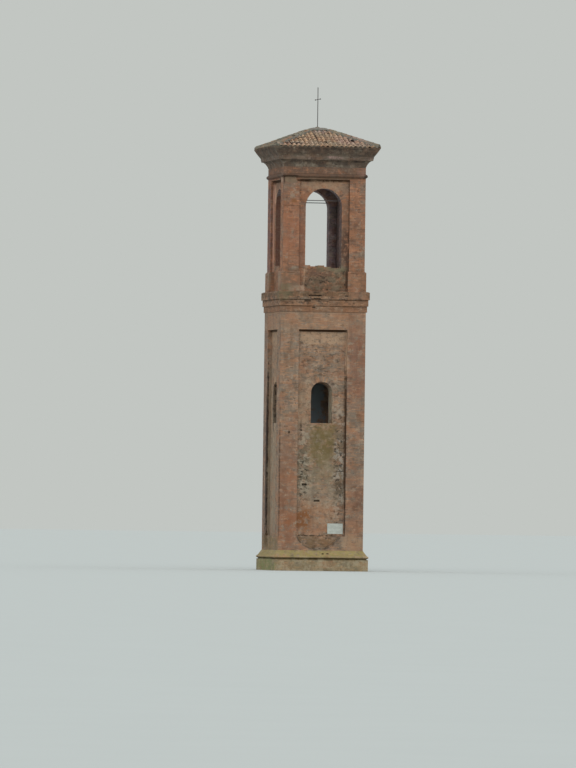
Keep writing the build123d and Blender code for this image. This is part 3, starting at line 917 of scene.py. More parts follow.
# %% Weather on the front of the shaft
SPOTS = {}
SPOTS["shaft"] = [
    ((-0.95, -2.1, 9.0), (0.33, 0.2, 1.3), 0.4, (158, 134, 108), 0.55, "blotchy"),
    ((0.0, -2.1, 5.5), (1.3, 0.1, 3.3), 0.3, SOOT_AND_SHADE, 0.3, "pitted"),
    ((0.0, -2.1, 10.5), (1.3, 0.1, 2.0), 0.4, SOOT_AND_SHADE, 0.2, "pitted"),
    ((0.1, -2.1, 6.9), (0.75, 0.2, 1.0), 0.4, (118, 102, 68), 0.4, "solid"),
    ((0.05, -2.1, 6.7), (0.65, 0.2, 1.15), 0.4, OLIVE, 0.8, "blotchy"),
    ((0.0, -2.1, 5.2), (0.75, 0.2, 0.8), 0.5, (130, 118, 94), 0.6, "blotchy"),
    ((-0.98, -2.1, 5.6), (0.3, 0.2, 1.5), 0.4, (102, 94, 76), 0.75, "blotchy"),
    ((-0.98, -2.1, 5.6), (0.36, 0.2, 1.7), 0.4, (172, 162, 142), 0.35, "limed"),
    ((-0.98, -2.1, 4.6), (0.34, 0.2, 1.3), 0.4, (38, 34, 28), 0.85, "pitted"),
    ((1.0, -2.1, 5.7), (0.3, 0.2, 2.2), 0.4, (112, 98, 78), 0.6, "blotchy"),
    ((1.0, -2.1, 5.7), (0.3, 0.2, 2.4), 0.4, (168, 160, 148), 0.5, "limed"),
    ((1.0, -2.1, 5.3), (0.34, 0.2, 2.4), 0.4, (40, 34, 30), 0.8, "pitted"),
    ((0.0, -2.1, 4.0), (1.2, 0.2, 0.5), 0.5, (142, 128, 108), 0.5, "blotchy"),
    ((-0.3, -2.1, 2.9), (0.95, 0.2, 0.75), 0.5, (158, 118, 88), 0.6, "blotchy"),
    ((-1.85, -2.3, 3.4), (0.5, 0.2, 3.4), 0.5, (138, 90, 64), 0.55, "blotchy"),
    ((-1.85, -2.3, 6.5), (0.5, 0.2, 0.9), 0.5, (122, 94, 76), 0.45, "blotchy"),
    ((-0.95, -2.1, 2.75), (0.42, 0.2, 0.5), 0.5, (126, 78, 42), 0.85, "blotchy"),
    ((-1.65, -2.3, 2.55), (0.4, 0.2, 0.45), 0.5, (142, 88, 54), 0.45, "blotchy"),
    ((-0.145, -2.1, 1.5), (1.2, 0.12, 0.4), 0.2, SOOT_AND_SHADE, 0.7, "pitted"),
    ((-1.80, -2.3, 7.38), (0.06, 0.1, 0.06), 0.5, DARK_LINE, 0.9, "solid"),
    ((1.75, -2.3, 4.44), (0.14, 0.1, 0.10), 0.5, DARK_LINE, 0.6, "blotchy"),
    ((1.83, -2.3, 3.37), (0.16, 0.1, 0.12), 0.5, DARK_LINE, 0.6, "blotchy"),
    ((-1.12, -2.1, 7.5), (0.05, 0.2, 0.4), 0.5, DARK_LINE, 0.7, "blotchy"),
    ((1.85, -2.3, 3.2), (0.5, 0.2, 2.4), 0.5, (130, 94, 72), 0.5, "blotchy"),
    ((2.07, -2.3, 3.9), (0.25, 0.1, 0.7), 0.5, (100, 74, 60), 0.5, "blotchy"),
    ((-2.07, -2.3, 3.9), (0.2, 0.1, 1.1), 0.5, (112, 82, 64), 0.45, "blotchy"),
    ((0.97, -2.1, 4.5), (0.28, 0.1, 0.35), 0.4, (78, 66, 52), 0.65, "blotchy"),
    ((1.85, -2.3, 11.0), (0.5, 0.2, 2.2), 0.5, (130, 88, 68), 0.6, "blotchy"),
    ((-0.145, -2.1, 1.55), (1.15, 0.12, 0.33), 0.2, (124, 98, 70), 0.7, "blotchy"),
    # Painted shade along the top of the bowl, under the foot of the panel.
    ((-0.145, -2.1, 1.88), (1.2, 0.1, 0.035), 0.4, DARK_LINE, 0.85, "blotchy"),
    ((1.75, -2.3, 1.5), (0.55, 0.1, 0.4), 0.4, (168, 140, 110), 0.5, "blotchy"),
]
print("patches on the front of the shaft:", len(SPOTS["shaft"]))

# %% [markdown]
# ## Lines at the shaft's corners
#
# Seen from far away, a recess is a thin line of light or shade. Lights could make it in the render; here
# narrow
# rows paint it instead: painted shade along the returns and on the far jamb of the left side's window, and
# painted light on the front window's right jamb and the upper part of the front's right return. The side
# walls get a few broad ones.

# %% Painted shade and light on the returns, and weather on the side walls
SPOTS["shaft"] += [
    # Painted light on the right jamb of the front's window.
    ((0.56, -1.72, 8.9), (0.12, 0.33, 1.1), 0.2, (164, 156, 134), 0.75, "blotchy"),
    # Painted shade: the far jamb of the left side's window, near black.
    ((-1.72, 0.56, 8.9), (0.6, 0.2, 1.3), 0.1, (18, 13, 8), 0.97, "solid"),
    # Painted shade along the front's right return.
    ((1.33, -2.17, 6.8), (0.06, 0.12, 3.4), 0.2, PAINTED_SHADE_LINE, 0.8, "solid"),
    # Painted shade on the panel beside the right return, which widens its line.
    ((1.27, -2.09, 7.4), (0.05, 0.05, 3.6), 0.4, (74, 54, 36), 0.75, "blotchy"),
    # Painted light on the upper part of the right return, which thins its shade.
    ((1.33, -2.17, 11.6), (0.06, 0.12, 1.1), 0.3, (186, 156, 128), 0.6, "solid"),
    # Painted shade on the lower part of the right return.
    ((1.33, -2.17, 2.9), (0.05, 0.12, 1.0), 0.3, DARK_LINE, 0.6, "blotchy"),
    # Painted shade along a return on the back.
    ((-1.33, 2.17, 8.4), (0.06, 0.12, 4.6), 0.3, DARK_LINE, 0.75, "solid"),
    # Painted shade: the outer half of the left side's far return, near black, as a shadowy gap. The next row
    # paints the inner half in the panel's tone, so that the dark strip stays narrow.
    ((-2.26, 1.33, 6.5), (0.055, 0.04, 4.9), 0.2, (22, 16, 12), 0.95, "solid"),
    ((-2.13, 1.33, 6.2), (0.065, 0.04, 4.6), 0.2, (126, 112, 92), 0.9, "solid"),
    ((-2.29, -2.29, 5.0), (0.04, 0.06, 3.0), 0.4, (58, 44, 32), 0.75, "blotchy"),
    # Painted shade on a return of the right side.
    ((2.2, -1.33, 6.5), (0.14, 0.04, 4.9), 0.2, (52, 42, 30), 0.9, "solid"),
    ((-2.1, 0.0, 5.0), (0.2, 1.3, 3.4), 0.4, (152, 138, 116), 0.55, "blotchy"),
    ((-2.1, 0.0, 10.6), (0.2, 1.3, 2.4), 0.5, BUFF, 0.4, "blotchy"),
    ((-2.3, 1.85, 7.0), (0.1, 0.5, 7.0), 0.3, (112, 94, 86), 0.5, "blotchy"),
    ((-2.3, -2.2, 12.45), (0.1, 0.035, 0.36), 0.3, SOOT_AND_SHADE, 0.8, "solid"),
    ((-2.3, 1.45, 5.4), (0.06, 0.14, 3.9), 0.3, (44, 34, 26), 0.85, "solid"),
    ((-2.3, 0.0, 1.45), (0.1, 2.2, 0.4), 0.4, (118, 102, 62), 0.6, "blotchy"),
    ((-2.3, 1.15, 1.65), (0.1, 0.5, 0.35), 0.5, (78, 60, 34), 0.8, "blotchy"),
]
print("patches on the whole shaft:", len(SPOTS["shaft"]))

# %% [markdown]
# ## Weather on the belfry
#
# The belfry stands in the wind, so its piers are washed clean and orange, with darker sheltered strips beside
# the
# arches. A few rows are painted shade: under the bead, under the head of the recess and on the left side's
# far pier.
# The parapet is dark with lichen. It gets three coats in one place, one blotchy, one pitted and one of lime,
# because a single colour would hide the bricks.

# %% Weather on the belfry's sides
SPOTS["belfry"] = [
    ((1.2, -2.05, 17.2), (0.24, 0.1, 1.0), 0.4, (76, 58, 48), 0.85, "blotchy"),
    # Painted shade: the far pier of the left side is tinted purple-grey, as it looks in shade.
    ((-2.22, 1.8, 18.4), (0.12, 0.4, 2.8), 0.3, (100, 74, 78), 0.65, "blotchy"),
    ((1.2, -2.05, 18.9), (0.22, 0.1, 0.9), 0.5, (122, 94, 74), 0.5, "blotchy"),
    ((-1.2, -2.05, 18.0), (0.2, 0.1, 1.8), 0.5, (126, 86, 70), 0.6, "blotchy"),
    ((0.0, -2.05, 20.6), (1.35, 0.1, 0.22), 0.4, (160, 132, 106), 0.65, "blotchy"),
    ((-1.8, -2.25, 18.2), (0.45, 0.1, 1.3), 0.6, (156, 102, 76), 0.45, "blotchy"),
    ((-1.86, -2.3, 20.87), (0.30, 0.2, 0.15), 0.15, (124, 106, 86), 0.8, "solid"),
    # Painted shade under the bead on the left pier.
    ((-1.95, -2.3, 21.06), (0.5, 0.2, 0.05), 0.3, (52, 36, 24), 0.85, "solid"),
    ((-2.2, -2.3, 20.9), (0.05, 0.12, 0.22), 0.3, (60, 44, 32), 0.8, "solid"),
    ((-2.2, -1.62, 20.9), (0.1, 0.2, 0.14), 0.3, (168, 144, 124), 0.7, "solid"),
    ((-2.05, 1.375, 18.4), (0.06, 0.06, 2.3), 0.3, (196, 156, 136), 0.8, "solid"),
    ((-2.02, 1.1, 20.15), (0.1, 0.2, 0.45), 0.4, (188, 150, 126), 0.8, "solid"),
    # The painted shade under the head of the belfry's recess, carried onto the left pier.
    ((-1.43, -2.22, 20.85), (0.09, 0.1, 0.06), 0.3, PAINTED_SHADE_LINE, 0.85, "solid"),
    ((2.3, -2.3, 21.1), (0.16, 0.16, 0.14), 0.3, (48, 46, 44), 0.8, "solid"),
    ((-2.3, 2.3, 21.1), (0.16, 0.2, 0.14), 0.3, (48, 46, 44), 0.8, "solid"),
    ((-2.3, 0.0, 15.5), (0.1, 2.2, 0.6), 0.4, (152, 134, 114), 0.5, "blotchy"),
    ((-1.5, -2.25, 15.07), (0.46, 0.2, 0.16), 0.4, (176, 158, 134), 0.6, "blotchy"),
    ((0.11, -2.05, 15.6), (1.1, 0.1, 0.7), 0.08, (88, 73, 56), 0.65, "blotchy"),
    ((0.11, -2.05, 15.6), (1.1, 0.1, 0.7), 0.08, (40, 33, 26), 0.65, "pitted"),
    ((0.11, -2.05, 15.6), (1.1, 0.1, 0.7), 0.08, (130, 116, 94), 0.4, "limed"),
    ((-0.2, -2.05, 15.95), (0.7, 0.1, 0.25), 0.3, (112, 84, 70), 0.55, "blotchy"),
    ((-1.03, -2.05, 15.6), (0.03, 0.1, 0.6), 0.3, (172, 142, 114), 0.55, "blotchy"),
    ((-1.19, -2.1, 15.09), (0.17, 0.2, 0.13), 0.2, (178, 150, 126), 0.85, "solid"),
    ((-1.85, -2.3, 15.92), (0.36, 0.1, 0.035), 0.4, (84, 52, 32), 0.75, "blotchy"),
    ((1.7, -2.3, 15.92), (0.25, 0.1, 0.03), 0.4, (84, 52, 32), 0.6, "blotchy"),
    ((-1.8, -2.3, 15.5), (0.5, 0.1, 0.55), 0.4, (104, 82, 64), 0.45, "blotchy"),
    ((-2.25, -2.2, 15.1), (0.4, 0.4, 0.2), 0.5, (112, 104, 80), 0.7, "blotchy"),
    # Painted shade on the wall under the bead, across the front.
    ((-0.05, -2.25, 20.96), (1.5, 0.1, 0.07), 0.3, (98, 79, 62), 0.8, "solid"),
    ((2.0, -2.22, 21.35), (0.25, 0.1, 0.2), 0.4, (142, 108, 92), 0.65, "blotchy"),
    ((-1.85, -2.25, 19.48), (0.42, 0.1, 0.03), 0.4, (96, 62, 42), 0.65, "blotchy"),
    ((-1.62, -2.25, 19.74), (0.2, 0.1, 0.13), 0.4, (126, 84, 52), 0.75, "blotchy"),
    ((1.31, -2.05, 15.6), (0.1, 0.1, 0.7), 0.2, (70, 50, 36), 0.8, "solid"),
    ((0.4, -2.05, 16.15), (0.8, 0.1, 0.18), 0.4, (118, 110, 86), 0.6, "blotchy"),
]
SPOTS["chamber"] = [
    ((-1.7, 1.0, 18.1), (0.45, 0.25, 2.95), 0.2, (100, 62, 44), 0.85, "solid"),
    # Painted shade on the far jamb of the right side's arch.
    ((1.6, 1.0, 17.9), (0.4, 0.42, 2.8), 0.2, (66, 54, 52), 0.75, "solid"),
    # Painted shade on the right jamb of the front's arch.
    ((1.05, -1.7, 17.9), (0.14, 0.42, 2.8), 0.2, (98, 78, 68), 0.7, "blotchy"),
]
print("patches on the belfry and its chamber:", len(SPOTS["belfry"]) + len(SPOTS["chamber"]))

# %% [markdown]
# ## Weather on the mouldings, the foot and the roof
#
# Ledges catch moss and dust, and where tiles have slipped, the shade in the gaps is painted as dark lines.
# These rows are few, since each material's own noise does the rest.

# %% Weather on the cornice, the string course, the plinth and the roof
SPOTS["cornice"] = [
    ((0.5, -2.56, 22.06), (0.42, 0.1, 0.06), 0.3, (158, 130, 120), 0.75, "blotchy"),
    ((-1.6, -2.56, 22.06), (0.5, 0.1, 0.06), 0.3, (120, 100, 84), 0.6, "blotchy"),
]
SPOTS["string"] = [
    ((-2.3, -2.4, 14.7), (0.55, 0.6, 0.25), 0.4, (108, 98, 74), 0.75, "blotchy"),
    ((1.9, -2.47, 14.75), (0.5, 0.1, 0.2), 0.4, (150, 112, 88), 0.6, "blotchy"),
]
SPOTS["plinth"] = [
    ((-2.54, 0.0, 0.3), (0.1, 2.5, 0.35), 0.3, (118, 128, 72), 0.6, "blotchy"),
    ((0.09, -2.42, 0.91), (0.06, 0.1, 0.035), 0.3, (44, 32, 18), 0.9, "solid"),
    ((0.36, -2.41, 0.93), (0.07, 0.1, 0.03), 0.3, (44, 32, 18), 0.85, "solid"),
]
SPOTS["roof"] = [
    # Painted shade in a gap between tiles, running up the slope.
    ((-0.38, -1.48, 23.26), (0.045, 0.64, 0.3), 0.3, (56, 38, 20), 0.9, "solid"),
    # Painted shade under slipped tiles above the eave row.
    ((-1.78, -2.50, 22.84), (0.52, 0.13, 0.12), 0.2, (40, 24, 14), 0.95, "solid"),
    ((-1.9, -2.76, 22.77), (1.0, 0.11, 0.06), 0.3, (178, 148, 134), 0.6, "blotchy"),
    ((-1.55, -1.72, 23.15), (0.3, 0.10, 0.12), 0.3, (64, 46, 30), 0.8, "solid"),
    ((-1.4, -2.40, 22.91), (1.2, 0.11, 0.06), 0.4, (182, 162, 142), 0.6, "blotchy"),
    ((0.45, -2.62, 22.83), (0.55, 0.15, 0.08), 0.4, (178, 162, 134), 0.6, "limed"),
    ((1.5, -2.0, 23.0), (0.9, 0.8, 0.35), 0.4, (158, 134, 124), 0.55, "blotchy"),
    ((0.40, -0.94, 23.47), (0.06, 0.12, 0.08), 0.4, (70, 48, 26), 0.85, "solid"),
    ((1.525, -2.04, 23.04), (0.08, 0.14, 0.12), 0.3, (20, 16, 14), 0.95, "solid"),
    ((0.0, -0.6, 23.6), (0.4, 0.25, 0.2), 0.5, (150, 138, 138), 0.5, "blotchy"),
]
print("patches in all:", sum(len(rows) for rows in (*ROUND.values(), *SPOTS.values())))

# %% [markdown]
# ## The scar's rim
#
# The broken edge of the bowl is painted dark: painted shade under the break, with grime. A box-shaped patch
# can't follow a curve, so this one is placed by its distance from the rim of the bowl in place of x.

# %% Painted shade and grime round the scar
# Painted shade and grime along the rim of the bowl.
RIM = {"shaft": [((0.01, -2.3, 1.4), (0.05, 0.12, 0.46), 0.7, (50, 32, 16), 0.75, "blotchy")]}


def folded(graph, at):
    """A spot with all four sides folded onto one: u, the distance from the axis, and the height."""
    x, y, z = graph.split(at)
    x, y = graph.math("ABSOLUTE", x), graph.math("ABSOLUTE", y)
    return graph.join(graph.math("MINIMUM", x, y), graph.math("MAXIMUM", x, y), z)


def from_rim(graph, at):
    """A spot with its x counted from the rim of the bowl."""
    x, y, z = graph.split(at)
    from_middle = graph.vector("DISTANCE", graph.join(x, 0.0, z), (SCAR.x, 0.0, SCAR_MIDDLE))["Value"]
    return graph.join(graph.math("SUBTRACT", from_middle, SCAR_RADIUS), y, z)


print("patches round the scar:", len(RIM["shaft"]))

# %% [markdown]
# ## Weather over the whole wall
#
# Even where no patch lies, an old wall is mottled: paler and darker by the metre, rusty here and grey there,
# with lime bloom, pits and faint streaks. One big noise would look like clouds. So each of these has a noise
# of its own, at its own size, and the same noises also break up the patches.

# %% Mottling and coats
RAGGED_ROUND, RAGGED_SPOT, RAGGED_RIM = 0.25, 2.2, 4.0


def mottled(graph, colour, at, rusty):
    """Mottles a colour, and gives the masks that break up the patches."""
    motley = graph.noise(at, scale=1.9, detail=8.0, roughness=0.7)
    colour = graph.brighten(colour, graph.ramp(motley, 0.36, 0.64, start=0.67, end=1.27, kind="LINEAR"))
    flatter = graph.vector("MULTIPLY", at, (1.0, 1.0, 1.6))[0]
    warm = graph.noise(flatter, scale=1.2, detail=6.0, roughness=0.65)
    colour = graph.tint(colour, srgb(*ORANGE), mask=graph.ramp(warm, 0.5, 0.62), strength=rusty)
    colour = graph.tint(colour, srgb(*GREY), mask=graph.ramp(warm, 0.5, 0.38), strength=0.45)
    limewash = graph.noise(at, scale=2.6, detail=9.0, roughness=0.72)
    pits = graph.noise(graph.vector("MULTIPLY", at, (1.0, 1.0, 1.5))[0], scale=4.3, detail=8.0, roughness=0.7)
    colour = graph.tint(colour, srgb(*LIME), mask=graph.ramp(limewash, 0.55, 0.61), strength=0.3)
    colour = graph.tint(colour, srgb(*SOOT_AND_SHADE), mask=graph.ramp(pits, 0.42, 0.36), strength=0.5)
    blotches = graph.noise(at, scale=5.0, detail=6.0, roughness=0.7)
    return colour, {"solid": 1.0, "blotchy": graph.ramp(blotches, 0.36, 0.54),
                    "pitted": graph.ramp(pits, 0.49, 0.41), "limed": graph.ramp(limewash, 0.50, 0.56)}


def weather_and_shading_group(name):
    """A group that lays one zone's weather, painted shade and painted light over a colour. Damp is where the
    streaks run.
    """
    taken, put_out = dict(Color="c", Position="v"), dict(Color="c", Damp="f")
    graph, given, made = new_group(f"weather_{name}", taken, put_out)
    at = given["Position"]
    loose = graph.noise(at, scale=2.2, detail=7.0, roughness=0.7, output="Color")
    push = graph.vector("SUBTRACT", loose, (0.5, 0.5, 0.5))[0]
    colour, masks = mottled(graph, given["Color"], at, rusty=0.15 if name == "cornice" else 0.45)
    rows = [(at, RAGGED_SPOT, row) for row in SPOTS.get(name, [])]
    if name in ROUND:
        wall = folded(graph, at)
        rows = [(wall, RAGGED_ROUND, row) for row in ROUND[name]] + rows
    rows += [(from_rim(graph, at), RAGGED_RIM, row) for row in RIM.get(name, [])]
    for where, ragged, (centre, half, softness, over, strength, texture) in rows:
        mask = use_group(graph, "patch", At=where, Push=push, Centre=centre, Half=half,
                         Softness=softness, Ragged=ragged)["Mask"]
        colour = graph.tint(colour, srgb(*over), graph.math("MULTIPLY", mask, masks[texture]), strength)
    drawn_out = graph.vector("MULTIPLY", at, (4.0, 4.0, 0.35))[0]
    streaks = graph.noise(drawn_out, scale=1.0, detail=4.0)
    damp = graph.math("MULTIPLY", graph.ramp(streaks, 0.52, 0.74), 0.18)
    colour = graph.mix(damp, colour, srgb(*SOOT_AND_SHADE))
    specks = graph.noise(at, scale=22.0, detail=3.0, roughness=0.7)
    colour = graph.tint(colour, srgb(*GREY), mask=graph.ramp(specks, 0.62, 0.78), strength=0.25)
    graph.set(made["Color"], colour)
    graph.set(made["Damp"], damp)
    print("weather", name, "patches:", len(rows))


for name in ("shaft", "belfry", "chamber", "string", "cornice", "plinth", "roof"):
    weather_and_shading_group(name)

# %% [markdown]
# ## Brick
#
# The clay differs from stage to stage: buff on the shaft, orange on the belfry, grey-brown on the cornice.
# One brick material with a colour input would do in the viewport, but each stage has patches of its own.
# So every stage gets a material made by the same loop. The bump is fine grain only: pits and sand in the
# clay, for the bricks' edges are real geometry.

# %% Brick materials
CLAYS = {
    "shaft": (srgb(158, 122, 94), srgb(144, 118, 97), srgb(130, 112, 97)),
    "belfry": (srgb(158, 110, 80), srgb(144, 102, 77), srgb(128, 95, 77)),
    # The chamber's clay is darker and purple-grey: painted shade of the inside of the bell chamber.
    "chamber": (srgb(132, 116, 120), srgb(120, 106, 111), srgb(108, 98, 104)),
    "string": (srgb(152, 116, 88), srgb(138, 106, 82), srgb(122, 98, 80)),
    "cornice": (srgb(110, 92, 77), srgb(100, 84, 71), srgb(90, 78, 68)),
    "plinth": (srgb(158, 132, 100), srgb(146, 126, 98), srgb(134, 120, 98)),
}
bricks = {}
for zone, (warm, middle, cool) in CLAYS.items():
    bricks[zone], graph, shader = new_material(f"{zone}_brick")
    position = graph.position()
    tones = graph.node("ShaderNodeAttribute", dict(attribute_name="brick")).outputs["Color"]
    clay = use_group(graph, "brick_colour", Tones=tones, Warm=warm, Middle=middle, Cool=cool)["Color"]
    weathered_and_shaded = use_group(graph, f"weather_{zone}", Color=clay, Position=position)
    graph.set(shader["Base Color"], weathered_and_shaded["Color"])
    graph.set(shader["Roughness"], graph.math("MULTIPLY_ADD", weathered_and_shaded["Damp"], -0.15, 0.93))
    shader["Specular IOR Level"].default_value = 0.25
    graph.roughen(shader, graph.noise(position, scale=90.0, detail=4.0, roughness=0.7), 0.5, 0.006)
print("brick materials:", sorted(bricks))

# %% [markdown]
# ## Mortar
#
# Old lime mortar is sandy and sooty. On the tower it shows between the bricks and on the ledges, so the
# solids behind the bricks wear it. The hollow of the shaft has no laid bricks, for hardly any light gets
# there, and so Blender's brick texture draws them on the mortar inside that hollow. That is the one place
# where a drawn brick is enough.

# %% Mortar materials
# The chamber's mortar is darker and greyer than the belfry's: painted shade of the bell chamber's inside.
MORTARS = {"shaft": srgb(142, 124, 104), "belfry": srgb(136, 110, 89), "string": srgb(122, 102, 82),
           "cornice": srgb(100, 86, 74), "plinth": srgb(144, 130, 100), "chamber": srgb(98, 88, 84)}
mortars = {}
for zone, lime in MORTARS.items():
    mortars[zone], graph, shader = new_material(f"{zone}_mortar")
    position = graph.position()
    sand = graph.noise(position, scale=30.0, detail=4.0, roughness=0.7)
    sandy = graph.mix(graph.ramp(sand, 0.3, 0.7), lime, graph.mix(0.35, lime, srgb(*SOOT_AND_SHADE)))
    x, y, z = graph.split(position)
    drawn = graph.node("ShaderNodeTexBrick", i0=graph.join(graph.math("ADD", x, y), z, 0.0),
                       i1=CLAYS[zone][0], i2=CLAYS[zone][2], i3=sandy, i4=1.0,
                       i5=0.006, i6=0.2, i7=0.0, i8=0.25, i9=0.065).outputs["Color"]
    reach = graph.math("MAXIMUM", graph.math("ABSOLUTE", x), graph.math("ABSOLUTE", y))
    surface = graph.mix(graph.ramp(reach, 1.40, 1.38), sandy, drawn)
    weathered_and_shaded = use_group(graph, f"weather_{zone}", Color=surface, Position=position)
    graph.set(shader["Base Color"], weathered_and_shaded["Color"])
    shader["Roughness"].default_value = 0.96
    graph.roughen(shader, sand, 0.6, 0.01)
print("mortar materials:", sorted(mortars))

# %% [markdown]
# ## Plinth
#
# The plinth is a plain course, a rounded lip over a shadow joint, and a slope that throws off the rain. The
# lip could be a bevelled box. Here it is one course of shaped bricks whose rungs follow an arc, because the
# real lip is moulded brick, with upright joints every 29 cm.

# %% Lay the plinth
PLINTH, PLINTH_TOP, LIP = 2.54, 2.495, 2.56
plinth = Brickwork("plinth_bricks")
sheet = Sheet(5.3 * 2, 5.3)
lip_arc = arc((PLINTH_TOP, LEVEL.lip), (LIP, LEVEL.lip_middle), (PLINTH_TOP, LEVEL.lip_top), 9)
for side in SIDES:
    foot = upright(side, PLINTH, LEVEL.ground, LEVEL.course_top)
    lay_face(plinth, sheet, foot, 0, LEVEL.course_top, **MITRES, pitch=0.076)
    lip = Run(side, lip_arc)
    lay_face(plinth, sheet, lip, 0, lip.length, **MITRES, pitch=lip.length, bends=7)
    slope = Run(side, [(PLINTH_TOP, LEVEL.lip_top), (SHAFT, LEVEL.band)])
    lay_face(plinth, sheet, slope, 0, slope.length, **MITRES)
plinth.finish(bricks["plinth"], "plinth_brick")

# %% [markdown]
# ## Piers, recesses and openings
#
# Shaft and belfry are built alike: two corner piers with a recessed panel between them, and a round-headed
# opening in the panel. The returns of the piers and the jambs of the opening share their arris bricks with
# the front. Each stage could be written out in full, but a few functions lay them all.

# %% Faces that every stage has
def cheek_ends(sign, depth, inner):
    """The ends of a cheek's courses: an arris at the front and the inner kind at the back."""
    if sign < 0:
        return dict(left=("arris", 0.0), right=(inner, depth))
    return dict(left=(inner, -depth), right=("arris", 0.0))


def recess(work, sheet, side, half, near, depth, low, high):
    """The two returns of the piers beside a recessed panel."""
    for sign in (-1, 1):
        cheek = Cheek(side, sign * half, -sign, near)
        lay_face(work, sheet, cheek, low, high, **cheek_ends(sign, depth, "inner"))


def reveal(work, sheet, side, opening, near, depth, splay=0.0, inner="arris"):
    """The jambs and the soffit of a round-headed opening."""
    for sign in (-1, 1):
        cheek = Cheek(side, sign * opening.half, -sign, near, splay)
        lay_face(work, sheet, cheek, opening.sill, opening.springing, **cheek_ends(sign, depth, inner))
    soffit = Soffit(side, opening.half, near, opening.springing, splay)
    lay_face(work, sheet, soffit, 0, math.pi * opening.half, left=("arris", 0.0), right=(inner, depth))


def piers(work, sheet, face, half, top, kind="arris", **options):
    """The faces of two corner piers, left and right of a panel."""
    lay_face(work, sheet, face, 0, top, left=("mitre", None), right=(kind, -half), **options)
    lay_face(work, sheet, face, 0, top, left=(kind, half), right=("mitre", None), **options)


print("faces of a stage: piers, recess, panel, ring and reveal")

# %% [markdown]
# ## Shaft
#
# The shaft is the tallest stage, so each side is a piece of its own. Its window narrows inward, so that
# its jambs and soffit are splayed. The back has a blind niche in place of a window. The courses leave out
# the window, the arch ring, three fallen bricks and the plaque on the front.

# %% Lay the shaft
SHAFT_TALL, NICHE, WINDOW_REACH = 11.03, 0.24, 0.9
window_gap = arch_gap(WINDOW.half, WINDOW.springing - LEVEL.panel, WINDOW.ring)
plaque_gap = box_gap(PLAQUE[0], PLAQUE[1], PLAQUE[2] - LEVEL.panel, PLAQUE[3] - LEVEL.panel)


def shaft_panel(work, sheet, side):
    """The recessed panel of the shaft, whose heights count from its foot, and the window's ring."""
    panel = upright(side, SHAFT_PANEL, LEVEL.panel, LEVEL.head)
    holes = hole_gaps(PANEL_HOLES, 0.0) + [plaque_gap] if side == "front" else []
    sill, springing = WINDOW.sill - LEVEL.panel, WINDOW.springing - LEVEL.panel
    ends = dict(left=("inner", -SHAFT_INNER), right=("inner", SHAFT_INNER),
                sheet=sheet.strip(-SHAFT_INNER, SHAFT_INNER, 0, SHAFT_TALL))
    courses(work, panel, 0, sill, **ends, gaps=holes)
    courses(work, panel, sill, springing, **ends, gaps=[window_gap])
    courses(work, panel, springing, SHAFT_TALL, **ends, gaps=[window_gap])
    ring_strip = sheet.strip(-WINDOW_REACH, WINDOW_REACH, WINDOW.springing, WINDOW.springing + WINDOW_REACH)
    ring(work, from_ground(side, SHAFT_PANEL), WINDOW, ring_strip)


for side in SIDES:
    work = Brickwork(f"shaft_bricks_{side}")
    sheet = Sheet(7.4, 11.2)
    piers(work, sheet, upright(side, SHAFT, LEVEL.panel, LEVEL.head), SHAFT_INNER, LEVEL.head - LEVEL.panel)
    shaft_panel(work, sheet, side)
    recess(work, sheet, side, SHAFT_INNER, SHAFT, SHAFT_RECESS, LEVEL.panel, LEVEL.head)
    if side == "back":
        reveal(work, sheet, side, WINDOW, SHAFT_PANEL, NICHE, inner="inner")
    else:
        reveal(work, sheet, side, WINDOW, SHAFT_PANEL, SHAFT_PANEL - SHAFT_INNER, WINDOW_SPLAY, inner="cut")
    work.finish(bricks["shaft"], "brick")

# %% [markdown]
# ## Bands of the shaft
#
# A plain band runs round the shaft under the panels and another over them. They turn the corners
# unbroken, so both ends of each course are mitred. On the front the lower band stops at the scar,
# and rough courses fill the bowl behind it.

# %% Lay the bands of the shaft
work = Brickwork("shaft_band_bricks")
sheet = Sheet(4.8 * 2, 4.8)
for side in SIDES:
    band = from_ground(side, SHAFT)
    scar_gaps = [scar_gap] if side == "front" else []
    lay_face(work, sheet, band, LEVEL.band, LEVEL.panel, **MITRES, first=1, gaps=scar_gaps)
    if side == "front":
        lay_face(work, sheet, from_ground(side, SHAFT_PANEL), LEVEL.scar, LEVEL.panel,
                 ("cut", -SHAFT_INNER), ("cut", SHAFT_INNER),
                 gaps=[outside_scar(-1), outside_scar(1)], rough=4.0)
    head = upright(side, SHAFT, LEVEL.head, LEVEL.string)
    lay_face(work, sheet, head, 0, head.length, **MITRES)
work.finish(bricks["shaft"], "brick")

# %% [markdown]
# ## String course
#
# Three bands, each standing out beyond the one below, and a slope on top that sheds water. Frost has
# loosened these bricks, and some have fallen out. A displace modifier would make the whole band wavy. Here
# the slabs themselves vary more in how far they stand out.

# %% Lay the string course
STRING_LOW, STRING_MIDDLE, STRING_TOP, WASH_BACK = 2.355, 2.41, 2.47, 2.38
work = Brickwork("string_bricks")
sheet = Sheet(5.1 * 2, 5.1)
for side in SIDES:
    gaps = hole_gaps(STRING_HOLES, LEVEL.string) if side == "front" else []
    for r, low, high in ((STRING_LOW, LEVEL.string, LEVEL.string_middle),
                         (STRING_MIDDLE, LEVEL.string_middle, LEVEL.string_upper),
                         (STRING_TOP, LEVEL.string_upper, LEVEL.wash)):
        lay_face(work, sheet, from_ground(side, r), low, high, **MITRES, gaps=gaps, rough=2.5)
    wash = Run(side, [(STRING_TOP, LEVEL.wash), (WASH_BACK, LEVEL.belfry)])
    lay_face(work, sheet, wash, 0, wash.length, **MITRES, pitch=0.1)
work.finish(bricks["string"], "moulded_brick")

# %% [markdown]
# ## Belfry
#
# The belfry's piers stand on pedestals with splayed tops, and an arch opens each side. The shaft could be
# copied and scaled, but bricks keep their size on a real tower. So the same functions lay it with its
# own widths, and the arch ring simply gets more bricks.

